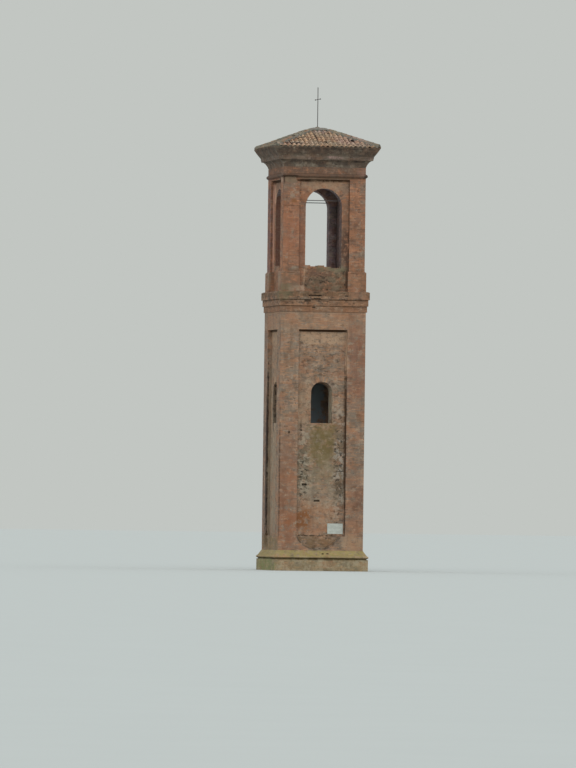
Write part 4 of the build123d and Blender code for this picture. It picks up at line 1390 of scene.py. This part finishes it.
# %% Lay the piers and arches of the belfry
arch_cut = arch_gap(ARCH.half, ARCH.springing, ARCH.ring)
BELFRY_ENDS = dict(left=("inner", -BELFRY_INNER), right=("inner", BELFRY_INNER))
STRIP_HALF, ARCH_REACH = 1.38, 1.3


def belfry_panel(work, sheet, side):
    """The wall round the arch, and the arch's ring."""
    panel = from_ground(side, BELFRY_PANEL)
    strip = sheet.strip(-STRIP_HALF, STRIP_HALF, LEVEL.sill, LEVEL.panel_top)
    courses(work, panel, LEVEL.sill, ARCH.springing, **BELFRY_ENDS, sheet=strip, gaps=[arch_cut])
    courses(work, panel, ARCH.springing, LEVEL.panel_top, **BELFRY_ENDS, sheet=strip, gaps=[arch_cut])
    ring(work, panel, ARCH, sheet.strip(-ARCH_REACH, ARCH_REACH, ARCH.springing, ARCH.springing + ARCH_REACH))


for side in SIDES:
    work = Brickwork(f"belfry_bricks_{side}")
    sheet = Sheet(9.0, 6.2)
    pedestal = upright(side, PEDESTAL, LEVEL.belfry, LEVEL.splay)
    piers(work, sheet, pedestal, PEDESTAL_INNER, LEVEL.splay - LEVEL.belfry)
    recess(work, sheet, side, PEDESTAL_INNER, PEDESTAL, PEDESTAL_RECESS, LEVEL.belfry, LEVEL.splay)
    splayed = Run(side, [(PEDESTAL, LEVEL.splay), (PEDESTAL_TOP, LEVEL.pedestal_top)])
    piers(work, sheet, splayed, PEDESTAL_INNER, splayed.length, "cut", pitch=0.1)
    pier = upright(side, BELFRY, LEVEL.pedestal_top, LEVEL.panel_top)
    piers(work, sheet, pier, BELFRY_INNER, LEVEL.panel_top - LEVEL.pedestal_top)
    recess(work, sheet, side, BELFRY_INNER, BELFRY, BELFRY_RECESS, LEVEL.pedestal_top, LEVEL.panel_top)
    belfry_panel(work, sheet, side)
    work.finish(bricks["belfry"], "brick")

# %% [markdown]
# ## Parapet
#
# A low wall closes the foot of each arch. It carries nothing, and its crest has crumbled in steps. The
# steps are gaps that reach over the top of the wall, so whole courses are missing, as on the real one.

# %% Lay the parapet
broken = [(left, right, drop) for left, right, drop in CREST if drop > 0]
crest_gaps = [box_gap(left, right, LEVEL.sill - drop, LEVEL.sill + 1) for left, right, drop in broken]
work = Brickwork("parapet_bricks")
sheet = Sheet(2.9 * 2, 2.9)
for side in SIDES:
    lay_face(work, sheet, from_ground(side, BELFRY_PANEL), LEVEL.belfry, LEVEL.sill, **BELFRY_ENDS,
             gaps=crest_gaps, rough=3.0)
work.finish(bricks["belfry"], "parapet_brick")

# %% [markdown]
# ## Bell chamber
#
# Through each arch the inner faces of the other walls show, in shade. A plain dark material would pass from
# the front, but not from below or from the side. So the chamber is laid in bricks too, as linings seen
# from inside, which run from right to left.

# %% Lay the chamber
JAMB = 0.645
inner_crest = [box_gap(-right, -left, LEVEL.sill - drop, LEVEL.sill + 1) for left, right, drop in broken]
work = Brickwork("chamber_bricks")
sheet = Sheet(13.0, 13.0)
for side in SIDES:
    lining = Lining(side, BELFRY_INNER)
    inside = dict(BELFRY_ENDS, sheet=sheet.strip(-STRIP_HALF, STRIP_HALF, LEVEL.chamber, LEVEL.cornice_top))
    courses(work, lining, LEVEL.chamber, LEVEL.sill, **inside, gaps=inner_crest)
    courses(work, lining, LEVEL.sill, ARCH.springing, **inside, gaps=[arch_cut])
    courses(work, lining, ARCH.springing, LEVEL.cornice_top, **inside, gaps=[arch_cut])
    ring(work, lining, ARCH, inside["sheet"])
    reveal(work, sheet, side, ARCH, BELFRY_PANEL, JAMB)
work.finish(bricks["chamber"], "brick")

# %% [markdown]
# ## Bead and frieze
#
# Over the arches run a half-round bead and a plain frieze. A curve with a bevel could be the bead, but it
# would have no joints. It is one course of shaped bricks, whose rungs follow a half circle.

# %% Lay the bead and the frieze
BEAD_OUT = 0.09
bead_arc = arc((BELFRY, LEVEL.bead), (BELFRY + BEAD_OUT, LEVEL.bead_middle), (BELFRY, LEVEL.frieze), 9)
work = Brickwork("frieze_bricks")
sheet = Sheet(4.8 * 2, 4.8)
for side in SIDES:
    face = from_ground(side, BELFRY)
    lay_face(work, sheet, face, LEVEL.panel_top, LEVEL.bead, **MITRES, pitch=0.1)
    bead = Run(side, bead_arc)
    lay_face(work, sheet, bead, 0, bead.length, **MITRES, pitch=bead.length, bends=7)
    lay_face(work, sheet, face, LEVEL.frieze, LEVEL.cornice, **MITRES)
work.finish(bricks["belfry"], "brick")

# %% [markdown]
# ## Cornice
#
# The cornice is a hollow, a thin fillet and a belly that flares out under the eaves. A profile swept round
# the tower would give one smooth ribbon. Here each moulding's arc is laid in courses of 15 cm that bend with
# it, and they meet in mitres at the corners.

# %% Lay the cornice
HOLLOW = [(BELFRY, LEVEL.cornice), (2.318, LEVEL.hollow), (2.465, LEVEL.fillet)]
FILLET = [(2.545, LEVEL.fillet), (2.585, LEVEL.corona)]
BELLY = [(2.575, LEVEL.corona), (2.75, LEVEL.belly), (2.90, LEVEL.cornice_top)]
WIDE_COURSE = 0.15
work = Brickwork("cornice_bricks")
sheet = Sheet(6.0 * 2, 6.0)
for side in SIDES:
    hollow, fillet, belly = Run(side, arc(*HOLLOW, 13)), Run(side, FILLET), Run(side, arc(*BELLY, 17))
    lay_face(work, sheet, hollow, 0, hollow.length, **MITRES, pitch=WIDE_COURSE, bends=5)
    lay_face(work, sheet, fillet, 0, fillet.length, **MITRES)
    lay_face(work, sheet, belly, 0, belly.length, **MITRES, pitch=WIDE_COURSE, bends=5)
work.finish(bricks["cornice"], "moulded_brick")

# %% [markdown]
# ## The slope of the roof
#
# The roof is a low pyramid. Tiles could be instanced on its faces, but they have to keep to columns and stop
# at the hips. So a tile is placed flat, by x across, y up the slope and z out of it, and then laid on the
# slope. The pitch follows from the eave and the apex of the solids.

# %% From a flat plan to the slope
EAVE_R, EAVE_Z, APEX_Z = 2.915, 22.70, 23.84
SLOPE = math.hypot(EAVE_R, APEX_Z - EAVE_Z)
COS, SIN = EAVE_R / SLOPE, (APEX_Z - EAVE_Z) / SLOPE
COLUMNS = 23
COLUMN = 2 * EAVE_R / COLUMNS


def on_slope(points):
    """From across, up the slope and out of it, to the tower's own coordinates, on the front."""
    x, y, n = points.T
    return np.stack([x, y * COS - n * SIN - EAVE_R, EAVE_Z + y * SIN + n * COS], 1)


print("columns are", round(COLUMN, 3), "m apart, pitch:", round(math.degrees(math.atan2(SIN, COS)), 1))

# %% [markdown]
# ## One barrel tile
#
# A barrel tile is half a cone of clay, about 44 cm long, wider at one end so that the next slips over it. A
# half cylinder with a solidify modifier is close, but it doesn't taper. So four half rings are joined up:
# outside and inside, each at the low and the high end.

# %% The shape of a tile
EXPOSED, TILE, CLAY = 0.36, 0.44, 0.015
SEGMENTS, FLATTENED = 8, 0.85


def tile(radius0, radius1, crown0, crown1, upside=1):
    """One tile: radius and crown at its low and high end, with its hollow down, or up where upside is -1."""
    turns = np.linspace(math.pi, 0, SEGMENTS + 1)
    ends = ((radius0, crown0, 0), (radius1, crown1, TILE))
    ends += tuple((radius - CLAY, crown - upside * CLAY, y) for radius, crown, y in ends)
    rings = []
    for radius, crown, y in ends:
        bow = crown + upside * (radius * np.sin(turns) - radius) * FLATTENED
        rings.append(np.stack([radius * np.cos(turns), np.full(len(turns), y), bow], 1))
    n = SEGMENTS + 1
    faces = []
    for i in range(SEGMENTS):
        outer = (i, i + 1, n + i + 1, n + i)
        lip = (2 * n + i, 2 * n + i + 1, i + 1, i)
        inner = (3 * n + i, 3 * n + i + 1, 2 * n + i + 1, 2 * n + i)
        faces += [outer[::-1] if upside > 0 else outer, lip[::-1], inner[::-1] if upside > 0 else inner]
    return np.concatenate(rings), np.array(faces)


COVER_RADIUS = 0.098
cover_points, cover_faces = tile(COVER_RADIUS, 0.078, -0.004, -0.030)
channel_points, channel_faces = tile(0.085, 0.100, -0.092, -0.105, upside=-1)
hip_points, hip_faces = tile(0.130, 0.112, 0.078, 0.058)
print("points and faces of a tile:", len(cover_points), len(cover_faces))

# %% [markdown]
# ## Loose tiles, cut at the hips
#
# No tile on an old roof lies quite straight, and now and then one slips. Random transforms on instances
# would move them as well, but the tiles along a hip also have to be cut. So each tile is shifted a little,
# all of a slope's tiles are joined, and two planes through the hips cut them with bisect.

# %% Jostling and joining tiles
TWIST, SLIDE, SIDESTEP, LIFT = 0.03, 0.03, 0.006, 0.004
SLIPPED, OFTEN_SLIPPED = 0.10, 0.08
HIP_PLANES = [(1, 1, 0), (-1, 1, 0)]


def jostled(points, amount, slips=True):
    """A tile shifted and turned a little, as loose tiles lie, and now and then slipped down."""
    turn = chance.normal(0, TWIST * amount)
    x = points[:, 0] * math.cos(turn) - points[:, 1] * math.sin(turn)
    y = points[:, 0] * math.sin(turn) + points[:, 1] * math.cos(turn)
    slip = chance.normal(0, SLIDE * amount)
    if slips and chance.random() < OFTEN_SLIPPED:
        slip -= SLIPPED
    x = x + chance.normal(0, SIDESTEP * amount)
    return np.stack([x, y + slip, points[:, 2] + chance.normal(0, LIFT * amount)], 1)


def roof_piece(name, side, tiles, material, cutters):
    """Joins tiles given as (points, faces, tones) on the front slope, cuts them, and turns them to a side."""
    points, faces, tones, start = [], [], [], 0
    for tile_points, tile_faces, tone in tiles:
        points.append(tile_points)
        faces.append(tile_faces + start)
        tones.append(np.tile(tone, (len(tile_points), 1)))
        start += len(tile_points)
    mesh = new_mesh(name, np.concatenate(points), np.concatenate(faces))
    give_tones(mesh, np.concatenate(tones))
    edit = bmesh.new()
    edit.from_mesh(mesh)
    for normal in cutters:
        everything = edit.verts[:] + edit.edges[:] + edit.faces[:]
        bmesh.ops.bisect_plane(edit, geom=everything, plane_co=(0, 0, 0), plane_no=normal, clear_outer=True)
    edit.to_mesh(mesh)
    edit.free()
    mesh.transform(Matrix.Rotation(math.pi / 2 * SIDES.index(side), 4, "Z"))
    return put_up(name, mesh, material)


print("about one tile in", round(1 / OFTEN_SLIPPED), "slips by", SLIPPED, "m")

# %% [markdown]
# ## Roof clay
#
# The tiles are paler than the walls, with lichen, dirt and moss on them, and the parts that see little sun
# are grey-green. That grey could be painted by hand. Here it comes from x and y, which tell the left
# slope and the strips beside the hips from the rest. Each of the three growths has its own noise.

# %% The tiles' material
roof_clay, graph, shader = new_material("roof_clay")
position = graph.position()
tones = graph.node("ShaderNodeAttribute", dict(attribute_name="brick")).outputs["Color"]
clay = use_group(graph, "brick_colour", Tones=tones, Warm=srgb(178, 145, 112), Middle=srgb(166, 136, 105),
                 Cool=srgb(146, 119, 92))["Color"]
lichen = graph.noise(position, scale=7.0, detail=6.0, roughness=0.7)
clay = graph.tint(clay, srgb(150, 140, 116), mask=graph.ramp(lichen, 0.52, 0.66), strength=0.4)
dirt = graph.noise(position, scale=9.0, detail=6.0, roughness=0.7)
clay = graph.tint(clay, srgb(78, 56, 38), mask=graph.ramp(dirt, 0.46, 0.36), strength=0.7)
moss = graph.noise(position, scale=2.2, detail=5.0, roughness=0.6)
clay = graph.tint(clay, srgb(112, 104, 78), mask=graph.ramp(moss, 0.54, 0.7), strength=0.4)

x, y, z = graph.split(position)
leftward = graph.math("MULTIPLY_ADD", graph.math("ABSOLUTE", y), -1.0, graph.math("MULTIPLY", x, -1.0))
apart = graph.math("SUBTRACT", graph.math("ABSOLUTE", x), graph.math("ABSOLUTE", y))
from_hip = graph.math("ABSOLUTE", apart)
shady = graph.math("MAXIMUM", graph.ramp(leftward, -0.1, 0.2), graph.ramp(from_hip, 0.24, 0.14))
damp = graph.math("MULTIPLY", shady, graph.ramp(lichen, 0.24, 0.42))
clay = graph.tint(clay, srgb(98, 96, 80), mask=damp, strength=0.88)
graph.set(shader["Base Color"], use_group(graph, "weather_roof", Color=clay, Position=position)["Color"])
shader["Roughness"].default_value = 0.92
graph.roughen(shader, graph.noise(position, scale=80.0, detail=4.0, roughness=0.7), 0.5, 0.006)
print("roof clay:", len(graph.tree.nodes), "nodes")

# %% [markdown]
# ## Mossy mortar
#
# Lime mortar beds the hips and the cap and plugs the tiles at the eave. It is lumpy and grey with moss. The
# lumps could be a displace modifier, but they are too small to change the outline, so a bump does.

# %% The mortar of the roof
cap_mortar, graph, shader = new_material("mossy_mortar")
position = graph.position()
moss = graph.noise(position, scale=6.0, detail=6.0, roughness=0.65)
lumps = graph.noise(position, scale=14.0, detail=5.0, roughness=0.6)
cap = graph.mix(graph.ramp(moss, 0.4, 0.62), srgb(120, 111, 102), srgb(100, 101, 88))
cap = graph.tint(cap, srgb(96, 82, 82), mask=graph.ramp(lumps, 0.55, 0.72), strength=0.5)
graph.set(shader["Base Color"], cap)
shader["Roughness"].default_value = 0.95
graph.roughen(shader, lumps, 0.8, 0.04)
print("mossy mortar:", len(graph.tree.nodes), "nodes")

# %% [markdown]
# ## Mortar plugs at the eave
#
# A lump of mortar closes the low end of most covers. A sphere in each tile would poke
# through the clay. A plug is a half disc with some depth, a little smaller than the hollow of its tile and
# set back from the eave.

# %% A plug of mortar
PLUG_RADIUS = COVER_RADIUS - CLAY
PLUG_POINTS, PLUG_DEEP, PLUG_SAG, PLUG_UNEVEN, SET_BACK = 8, 0.06, 0.02, 0.003, (0.01, 0.06)


def plug(x):
    """The mortar that closes the low end of a cover, as points and faces, before it is laid on the slope."""
    n, last = PLUG_POINTS, PLUG_POINTS - 1
    turns = np.linspace(math.pi, 0, n)
    low = FLATTENED * PLUG_RADIUS * (np.sin(turns) - 1) - PLUG_SAG
    bow = np.stack([PLUG_RADIUS * np.cos(turns), np.zeros(n), low], 1)
    bow[[0, -1], 2] -= PLUG_SAG
    bow += chance.normal(0, PLUG_UNEVEN, bow.shape)
    near = chance.uniform(*SET_BACK)
    points = np.concatenate([bow + (x, near, 0), bow + (x, near + PLUG_DEEP, 0)])
    faces = [(i, last - i, last - 1 - i, i + 1) for i in range(n // 2 - 1)]
    faces += [(n + i, n + i + 1, n + last - 1 - i, n + last - i) for i in range(n // 2 - 1)]
    faces += [(i, i + 1, n + i + 1, n + i) for i in range(last)] + [(0, n, n + last, last)]
    return points, np.array(faces)


print("a plug is", round(2 * PLUG_RADIUS, 3), "m wide")

# %% [markdown]
# ## Tiles on the slopes
#
# The tiles lie in columns from eave to hip: channels with their hollow up, and covers over each pair of
# channels. Tones picked tile by tile would make the roof look dotted, but from afar it reads as stripes. So
# the tiles of a column share half their tone and lean the same way, and the channel tiles are dark: dirt in
# the channels, and painted shade between the covers. One cover is missing on the front, and a few elsewhere.

# %% Lay the tiles
GONE = ("front", 6, 2)
OFTEN_GONE, OFTEN_PLUGGED = 0.03, 0.8
COLUMN_LEAN, COLUMN_START, OVER_HIP = 0.012, 0.06, 0.25
LOOSE, FIRM = 1.0, 0.4
# The darkest, burnt tones, for the channel tiles: dirt in the channels, and painted shade between the covers.
DARK = (0.9, 0.0, 1.0)


def plugs_of_slope():
    plugs = []
    for column in range(-(COLUMNS // 2), COLUMNS // 2 + 1):
        if chance.random() < OFTEN_PLUGGED:
            points, faces = plug(column * COLUMN)
            plugs.append((on_slope(points), faces, chance.random(3)))
    return plugs


def column_of_tiles(side, column, x, points, faces, covers):
    """The tiles of one column, from the eave to past the hip. Each upper end slips under the next tile."""
    lean, start = chance.normal(0, COLUMN_LEAN), chance.normal(0, COLUMN_START)
    stripe = chance.random(3)
    reach = (EAVE_R - abs(x)) / COS + OVER_HIP
    tiles = []
    for row in range(int(reach / EXPOSED) + 1):
        if covers and row and ((side, column, row) == GONE or chance.random() < OFTEN_GONE):
            continue
        place = (x + lean * (row > 0), row * EXPOSED + start * (row > 0), 0)
        placed = jostled(points, LOOSE if row else FIRM, row > 0) + place
        placed[:, 1] = np.maximum(placed[:, 1], 0)
        tone = chance.random(3) * 0.5 + stripe * 0.5 if covers else DARK
        tiles.append((on_slope(placed), faces, tone))
    return tiles


for side in SIDES:
    roof_piece(f"eave_mortar_{side}", side, plugs_of_slope(), cap_mortar, HIP_PLANES)
    tiles = []
    for column in range(-(COLUMNS // 2), COLUMNS // 2 + 1):
        tiles += column_of_tiles(side, column, column * COLUMN, cover_points, cover_faces, True)
        between = (column + 0.5) * COLUMN
        tiles += column_of_tiles(side, column, between, channel_points, channel_faces, False)
    piece = roof_piece(f"roof_tiles_{side}", side, tiles, roof_clay, HIP_PLANES)
    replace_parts(piece, f"roof_slope_{side}")

# %% [markdown]
# ## Hip tiles
#
# A row of bigger tiles covers the joint between two slopes, from each corner up to the cap. They could be
# instanced along a curve. Placing them as on a slope, but by the hip's own direction and pitch, keeps their
# overlap and jostling alike.

# %% Lay the hip tiles
HIP_RUN = math.hypot(EAVE_R, EAVE_R)
HIP_SLOPE = math.hypot(HIP_RUN, APEX_Z - EAVE_Z)
HIP_COS, HIP_SIN = HIP_RUN / HIP_SLOPE, (APEX_Z - EAVE_Z) / HIP_SLOPE
HIP_TILES, HIP_START, HIP_LOOSE = 9, 0.17, 0.8


def on_hip(quarter, x, y, n):
    """From across a hip, up it and out of it, to the tower's own coordinates."""
    turn = math.radians(-45 + 90 * quarter)
    out = HIP_RUN - y * HIP_COS + n * HIP_SIN
    z = EAVE_Z + y * HIP_SIN + n * HIP_COS
    return out * math.cos(turn) - x * math.sin(turn), out * math.sin(turn) + x * math.cos(turn), z


tiles = []
for quarter in range(4):
    for row in range(HIP_TILES):
        placed = jostled(hip_points, HIP_LOOSE, row > 0) + (0, HIP_START + row * EXPOSED, 0)
        tiles.append((np.stack(on_hip(quarter, *placed.T), 1), hip_faces[:, ::-1], chance.random(3)))
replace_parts(roof_piece("hip_tiles", "front", tiles, roof_clay, []), "hip_ridges")

# %% [markdown]
# ## Bedding along the hips
#
# Mortar fills the wedge between the hip tiles and the slopes, and shows as a ragged line on each side.
# A boolean of the two would leave no line. A low ridge with an uneven cross section, run up each hip
# under its tiles, sticks out just enough on both sides.

# %% Bed the hips
BED = [(-0.16, -0.13), (-0.125, -0.01), (-0.06, 0.035), (0.06, 0.035), (0.125, -0.01), (0.16, -0.13)]
BED_STEPS, BED_STEP, BED_START, BED_UNEVEN = 21, 0.17, 0.13, 0.006
wide = len(BED)
points, faces = [], []
for quarter in range(4):
    base = len(points)
    for step in range(BED_STEPS):
        for across, n in BED:
            n += chance.normal(0, BED_UNEVEN)
            x = across + chance.normal(0, BED_UNEVEN)
            points.append(on_hip(quarter, x, BED_START + step * BED_STEP, n))
    for step in range(BED_STEPS - 1):
        for a in range(base + step * wide, base + step * wide + wide - 1):
            faces.append((a, a + wide, a + wide + 1, a + 1))
    faces.append(tuple(range(base, base + wide)))
points = np.clip(points, -EAVE_R, TALL)
points[:, :2] = np.minimum(points[:, :2], EAVE_R)
put_up("hip_bedding", new_mesh("hip_bedding", points, faces), cap_mortar)

# %% [markdown]
# ## Bedding under the cap
#
# The cap sits on a collar of mortar over the top ends of the tiles. A squashed torus would be round, and the
# collar follows the square of the roof. So its rings are squares with uneven edges, each a little lower
# than the one inside it.

# %% Bed the cap
COLLAR = [(0.34, 0.035), (0.44, 0.032), (0.50, 0.0), (0.545, -0.06), (0.56, -0.13)]
AROUND, RAGGED_EDGE, RAGGED_TOP = 48, 0.012, 0.004
points, faces = [], []
for ring_half, n in COLLAR:
    for step in range(AROUND):
        turn = 2 * math.pi * step / AROUND
        x, y = math.cos(turn), math.sin(turn)
        reach = (ring_half + chance.normal(0, RAGGED_EDGE)) / max(abs(x), abs(y))
        x, y = x * reach, y * reach
        z = APEX_Z - max(abs(x), abs(y)) * SIN / COS + n + chance.normal(0, RAGGED_TOP)
        points.append((x, y, z))
for row in range(len(COLLAR) - 1):
    for step in range(AROUND):
        here, after = row * AROUND + step, row * AROUND + (step + 1) % AROUND
        faces.append((here, here + AROUND, after + AROUND, after))
put_up("cap_bedding", new_mesh("cap_bedding", points, faces), cap_mortar)

# %% [markdown]
# ## Deck
#
# Boards under the tiles close the roof, so that no light comes through. Nobody sees single planks from the
# ground, so the deck is a thin pyramid, with a grain that comes from a stretched noise.

# %% Lay the deck
DECK_TOP, DECK_UNDER, DECK_HALF = 0.115, 0.140, EAVE_R - 0.03


def pyramid_points(half, drop):
    """A pyramid of the roof's pitch, lower than the roof by a drop."""
    z = APEX_Z - half * (APEX_Z - EAVE_Z) / EAVE_R - drop
    return [(-half, -half, z), (half, -half, z), (half, half, z), (-half, half, z), (0, 0, APEX_Z - drop)]


boards, graph, shader = new_material("old_boards")
stretched = graph.vector("MULTIPLY", graph.position(), (6.0, 6.0, 1.0))[0]
fibres = graph.noise(stretched, scale=3.0, detail=5.0, roughness=0.6)
graph.set(shader["Base Color"], graph.mix(fibres, srgb(70, 52, 40), srgb(118, 96, 76)))
shader["Roughness"].default_value = 0.9
graph.roughen(shader, fibres, 0.4, 0.01)

points = pyramid_points(DECK_HALF, DECK_TOP) + pyramid_points(DECK_HALF, DECK_UNDER)
faces = []
for i in range(4):
    j = (i + 1) % 4
    faces += [(i, j, 4), (5 + j, 5 + i, 9), (i, 5 + i, 5 + j, j)]
put_up("roof_deck", new_mesh("roof_deck", points, faces), boards)

# %% [markdown]
# ## Iron
#
# The finial is dark iron with rust, and the ties in the arches are greyer. Rust is not metal, so where it
# lies Metallic drops and the surface is rougher. Image maps could carry all three, but one noise keeps the
# colour, the metal and the roughness in step.

# %% Iron materials
IRONS = {"rusty_iron": (srgb(50, 53, 55), srgb(66, 53, 46)),
         "grey_iron": (srgb(66, 68, 70), srgb(72, 62, 56))}
irons = {}
for finish, (bare, rusted) in IRONS.items():
    irons[finish], graph, shader = new_material(finish)
    rust = graph.noise(graph.position(), scale=18.0, detail=6.0, roughness=0.7)
    graph.set(shader["Base Color"], graph.mix(graph.ramp(rust, 0.35, 0.65), bare, rusted))
    graph.set(shader["Metallic"], graph.math("MULTIPLY", graph.ramp(rust, 0.6, 0.4), 0.4))
    graph.set(shader["Roughness"], graph.math("MULTIPLY_ADD", rust, 0.35, 0.5))
    graph.roughen(shader, rust, 0.4, 0.004)
print("iron materials:", sorted(irons))

# %% [markdown]
# ## Pale stone
#
# The plaque is a bare slab of pale stone with faint veins, and rain has drawn brown drips down it. Veins
# could be a wave texture, but in old worn stone they are so faint that a stretched noise is enough.

# %% The plaque's material
stone, graph, shader = new_material("pale_stone")
position = graph.position()
flat, tall = (graph.vector("MULTIPLY", position, by)[0] for by in ((2.0, 2.0, 5.0), (9.0, 9.0, 0.8)))
veins = graph.noise(flat, scale=2.0, detail=7.0, roughness=0.6)
drips = graph.noise(tall, scale=1.0, detail=4.0)
pale = graph.mix(graph.ramp(veins, 0.45, 0.6), srgb(174, 177, 167), srgb(162, 165, 155))
pale = graph.tint(pale, srgb(150, 142, 126), mask=graph.ramp(drips, 0.55, 0.75), strength=0.35)
graph.set(shader["Base Color"], pale)
shader["Roughness"].default_value = 0.6
graph.roughen(shader, veins, 0.2, 0.003)
print("pale stone:", len(graph.tree.nodes), "nodes")

# %% [markdown]
# ## Materials on the solids
#
# The solids that stay in sight get their materials: iron, stone, timber and the mortar of the cap. The
# masonry solids get the mortar of their stage, since that is what shows between the bricks. They could be
# picked one by one, but the first word of each solid's name says what it is made of.

# %% Dress the solids
DRESS = {"plinth": mortars["plinth"], "shaft": mortars["shaft"], "string": mortars["string"],
         "parapet": mortars["belfry"], "belfry": mortars["belfry"], "frieze": mortars["belfry"],
         "cornice": mortars["cornice"], "roof": roof_clay, "hip": roof_clay, "apex": cap_mortar,
         "finial": irons["rusty_iron"], "tie": irons["grey_iron"], "plaque": stone}
TIMBER = ("belfry_floor", "floor_beams", "wall_plate", "tie_beam", "king_post", "hip_rafters")
for name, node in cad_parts.items():
    material = boards if name in TIMBER else DRESS[name.split("_")[0]]
    node.data.materials.clear()
    node.data.materials.append(material)
print("dressed solids:", len(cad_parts))

# %% [markdown]
# ## Floor
#
# The tower stands on a plain pale floor that takes its shadow. It reaches far enough for the long lens to see
# no edge. A shadow catcher has to be composited, so it is an ordinary plane with a faint mottle.

# %% The floor
FLOOR_HALF = 900
scene = bpy.context.scene
pale_floor, graph, shader = new_material("pale_floor")
mottle = graph.noise(graph.position(), scale=0.4, detail=3.0)
graph.set(shader["Base Color"], graph.mix(mottle, srgb(178, 182, 178), srgb(181, 185, 181)))
shader["Roughness"].default_value = 0.9
shader["Specular IOR Level"].default_value = 0.0
corners = [(x * FLOOR_HALF, y * FLOOR_HALF, 0) for x, y in ((-1, -1), (1, -1), (1, 1), (-1, 1))]
mesh = new_mesh("floor", corners, [(0, 1, 2, 3)])
mesh.materials.append(pale_floor)
floor = bpy.data.objects.new("floor", mesh)
scene.collection.objects.link(floor)
print("floor:", 2 * FLOOR_HALF, "m wide")

# %% [markdown]
# ## Light
#
# On a dull day the light comes from everywhere, a little more from above, with only a hint of a direction.
# Area lamps would have to be huge. A world that brightens upwards is the soft dome, and a weak,
# wide sun gives the direction. By Is Camera Ray the camera sees a flat pale backdrop instead of the dome.

# %% World and sun
BACKDROP, DOME = srgb(194, 198, 194), (0.93, 0.97, 1.0, 1)
SUN_STRENGTH, SUN_WIDE = 0.9, math.radians(40)
SUN_TURN = (math.radians(52), 0, math.radians(-12))

world = bpy.data.worlds.new("pale_dome")
scene.world = world
world.use_nodes = True
graph = Graph(world.node_tree)
background = world.node_tree.nodes["Background"].inputs
up = graph.split(graph.node("ShaderNodeTexCoord").outputs["Generated"])[2]
brightness = graph.ramp(up, -0.1, 1.0, start=0.95, end=1.1)
to_camera = graph.node("ShaderNodeLightPath").outputs["Is Camera Ray"]
graph.set(background["Color"], graph.mix(to_camera, DOME, BACKDROP))
strength = graph.node("ShaderNodeMix", dict(data_type="FLOAT"), i0=to_camera, i2=brightness, i3=1.0)
graph.set(background["Strength"], strength.outputs[0])

sun_data = bpy.data.lights.new("veiled_sun", "SUN")
sun_data.energy = SUN_STRENGTH
sun_data.angle = SUN_WIDE
sun = bpy.data.objects.new("veiled_sun", sun_data)
sun.rotation_euler = SUN_TURN
scene.collection.objects.link(sun)
scene.view_settings.view_transform = "Standard"
print("sun:", sun_data.energy, "world:", world.name)
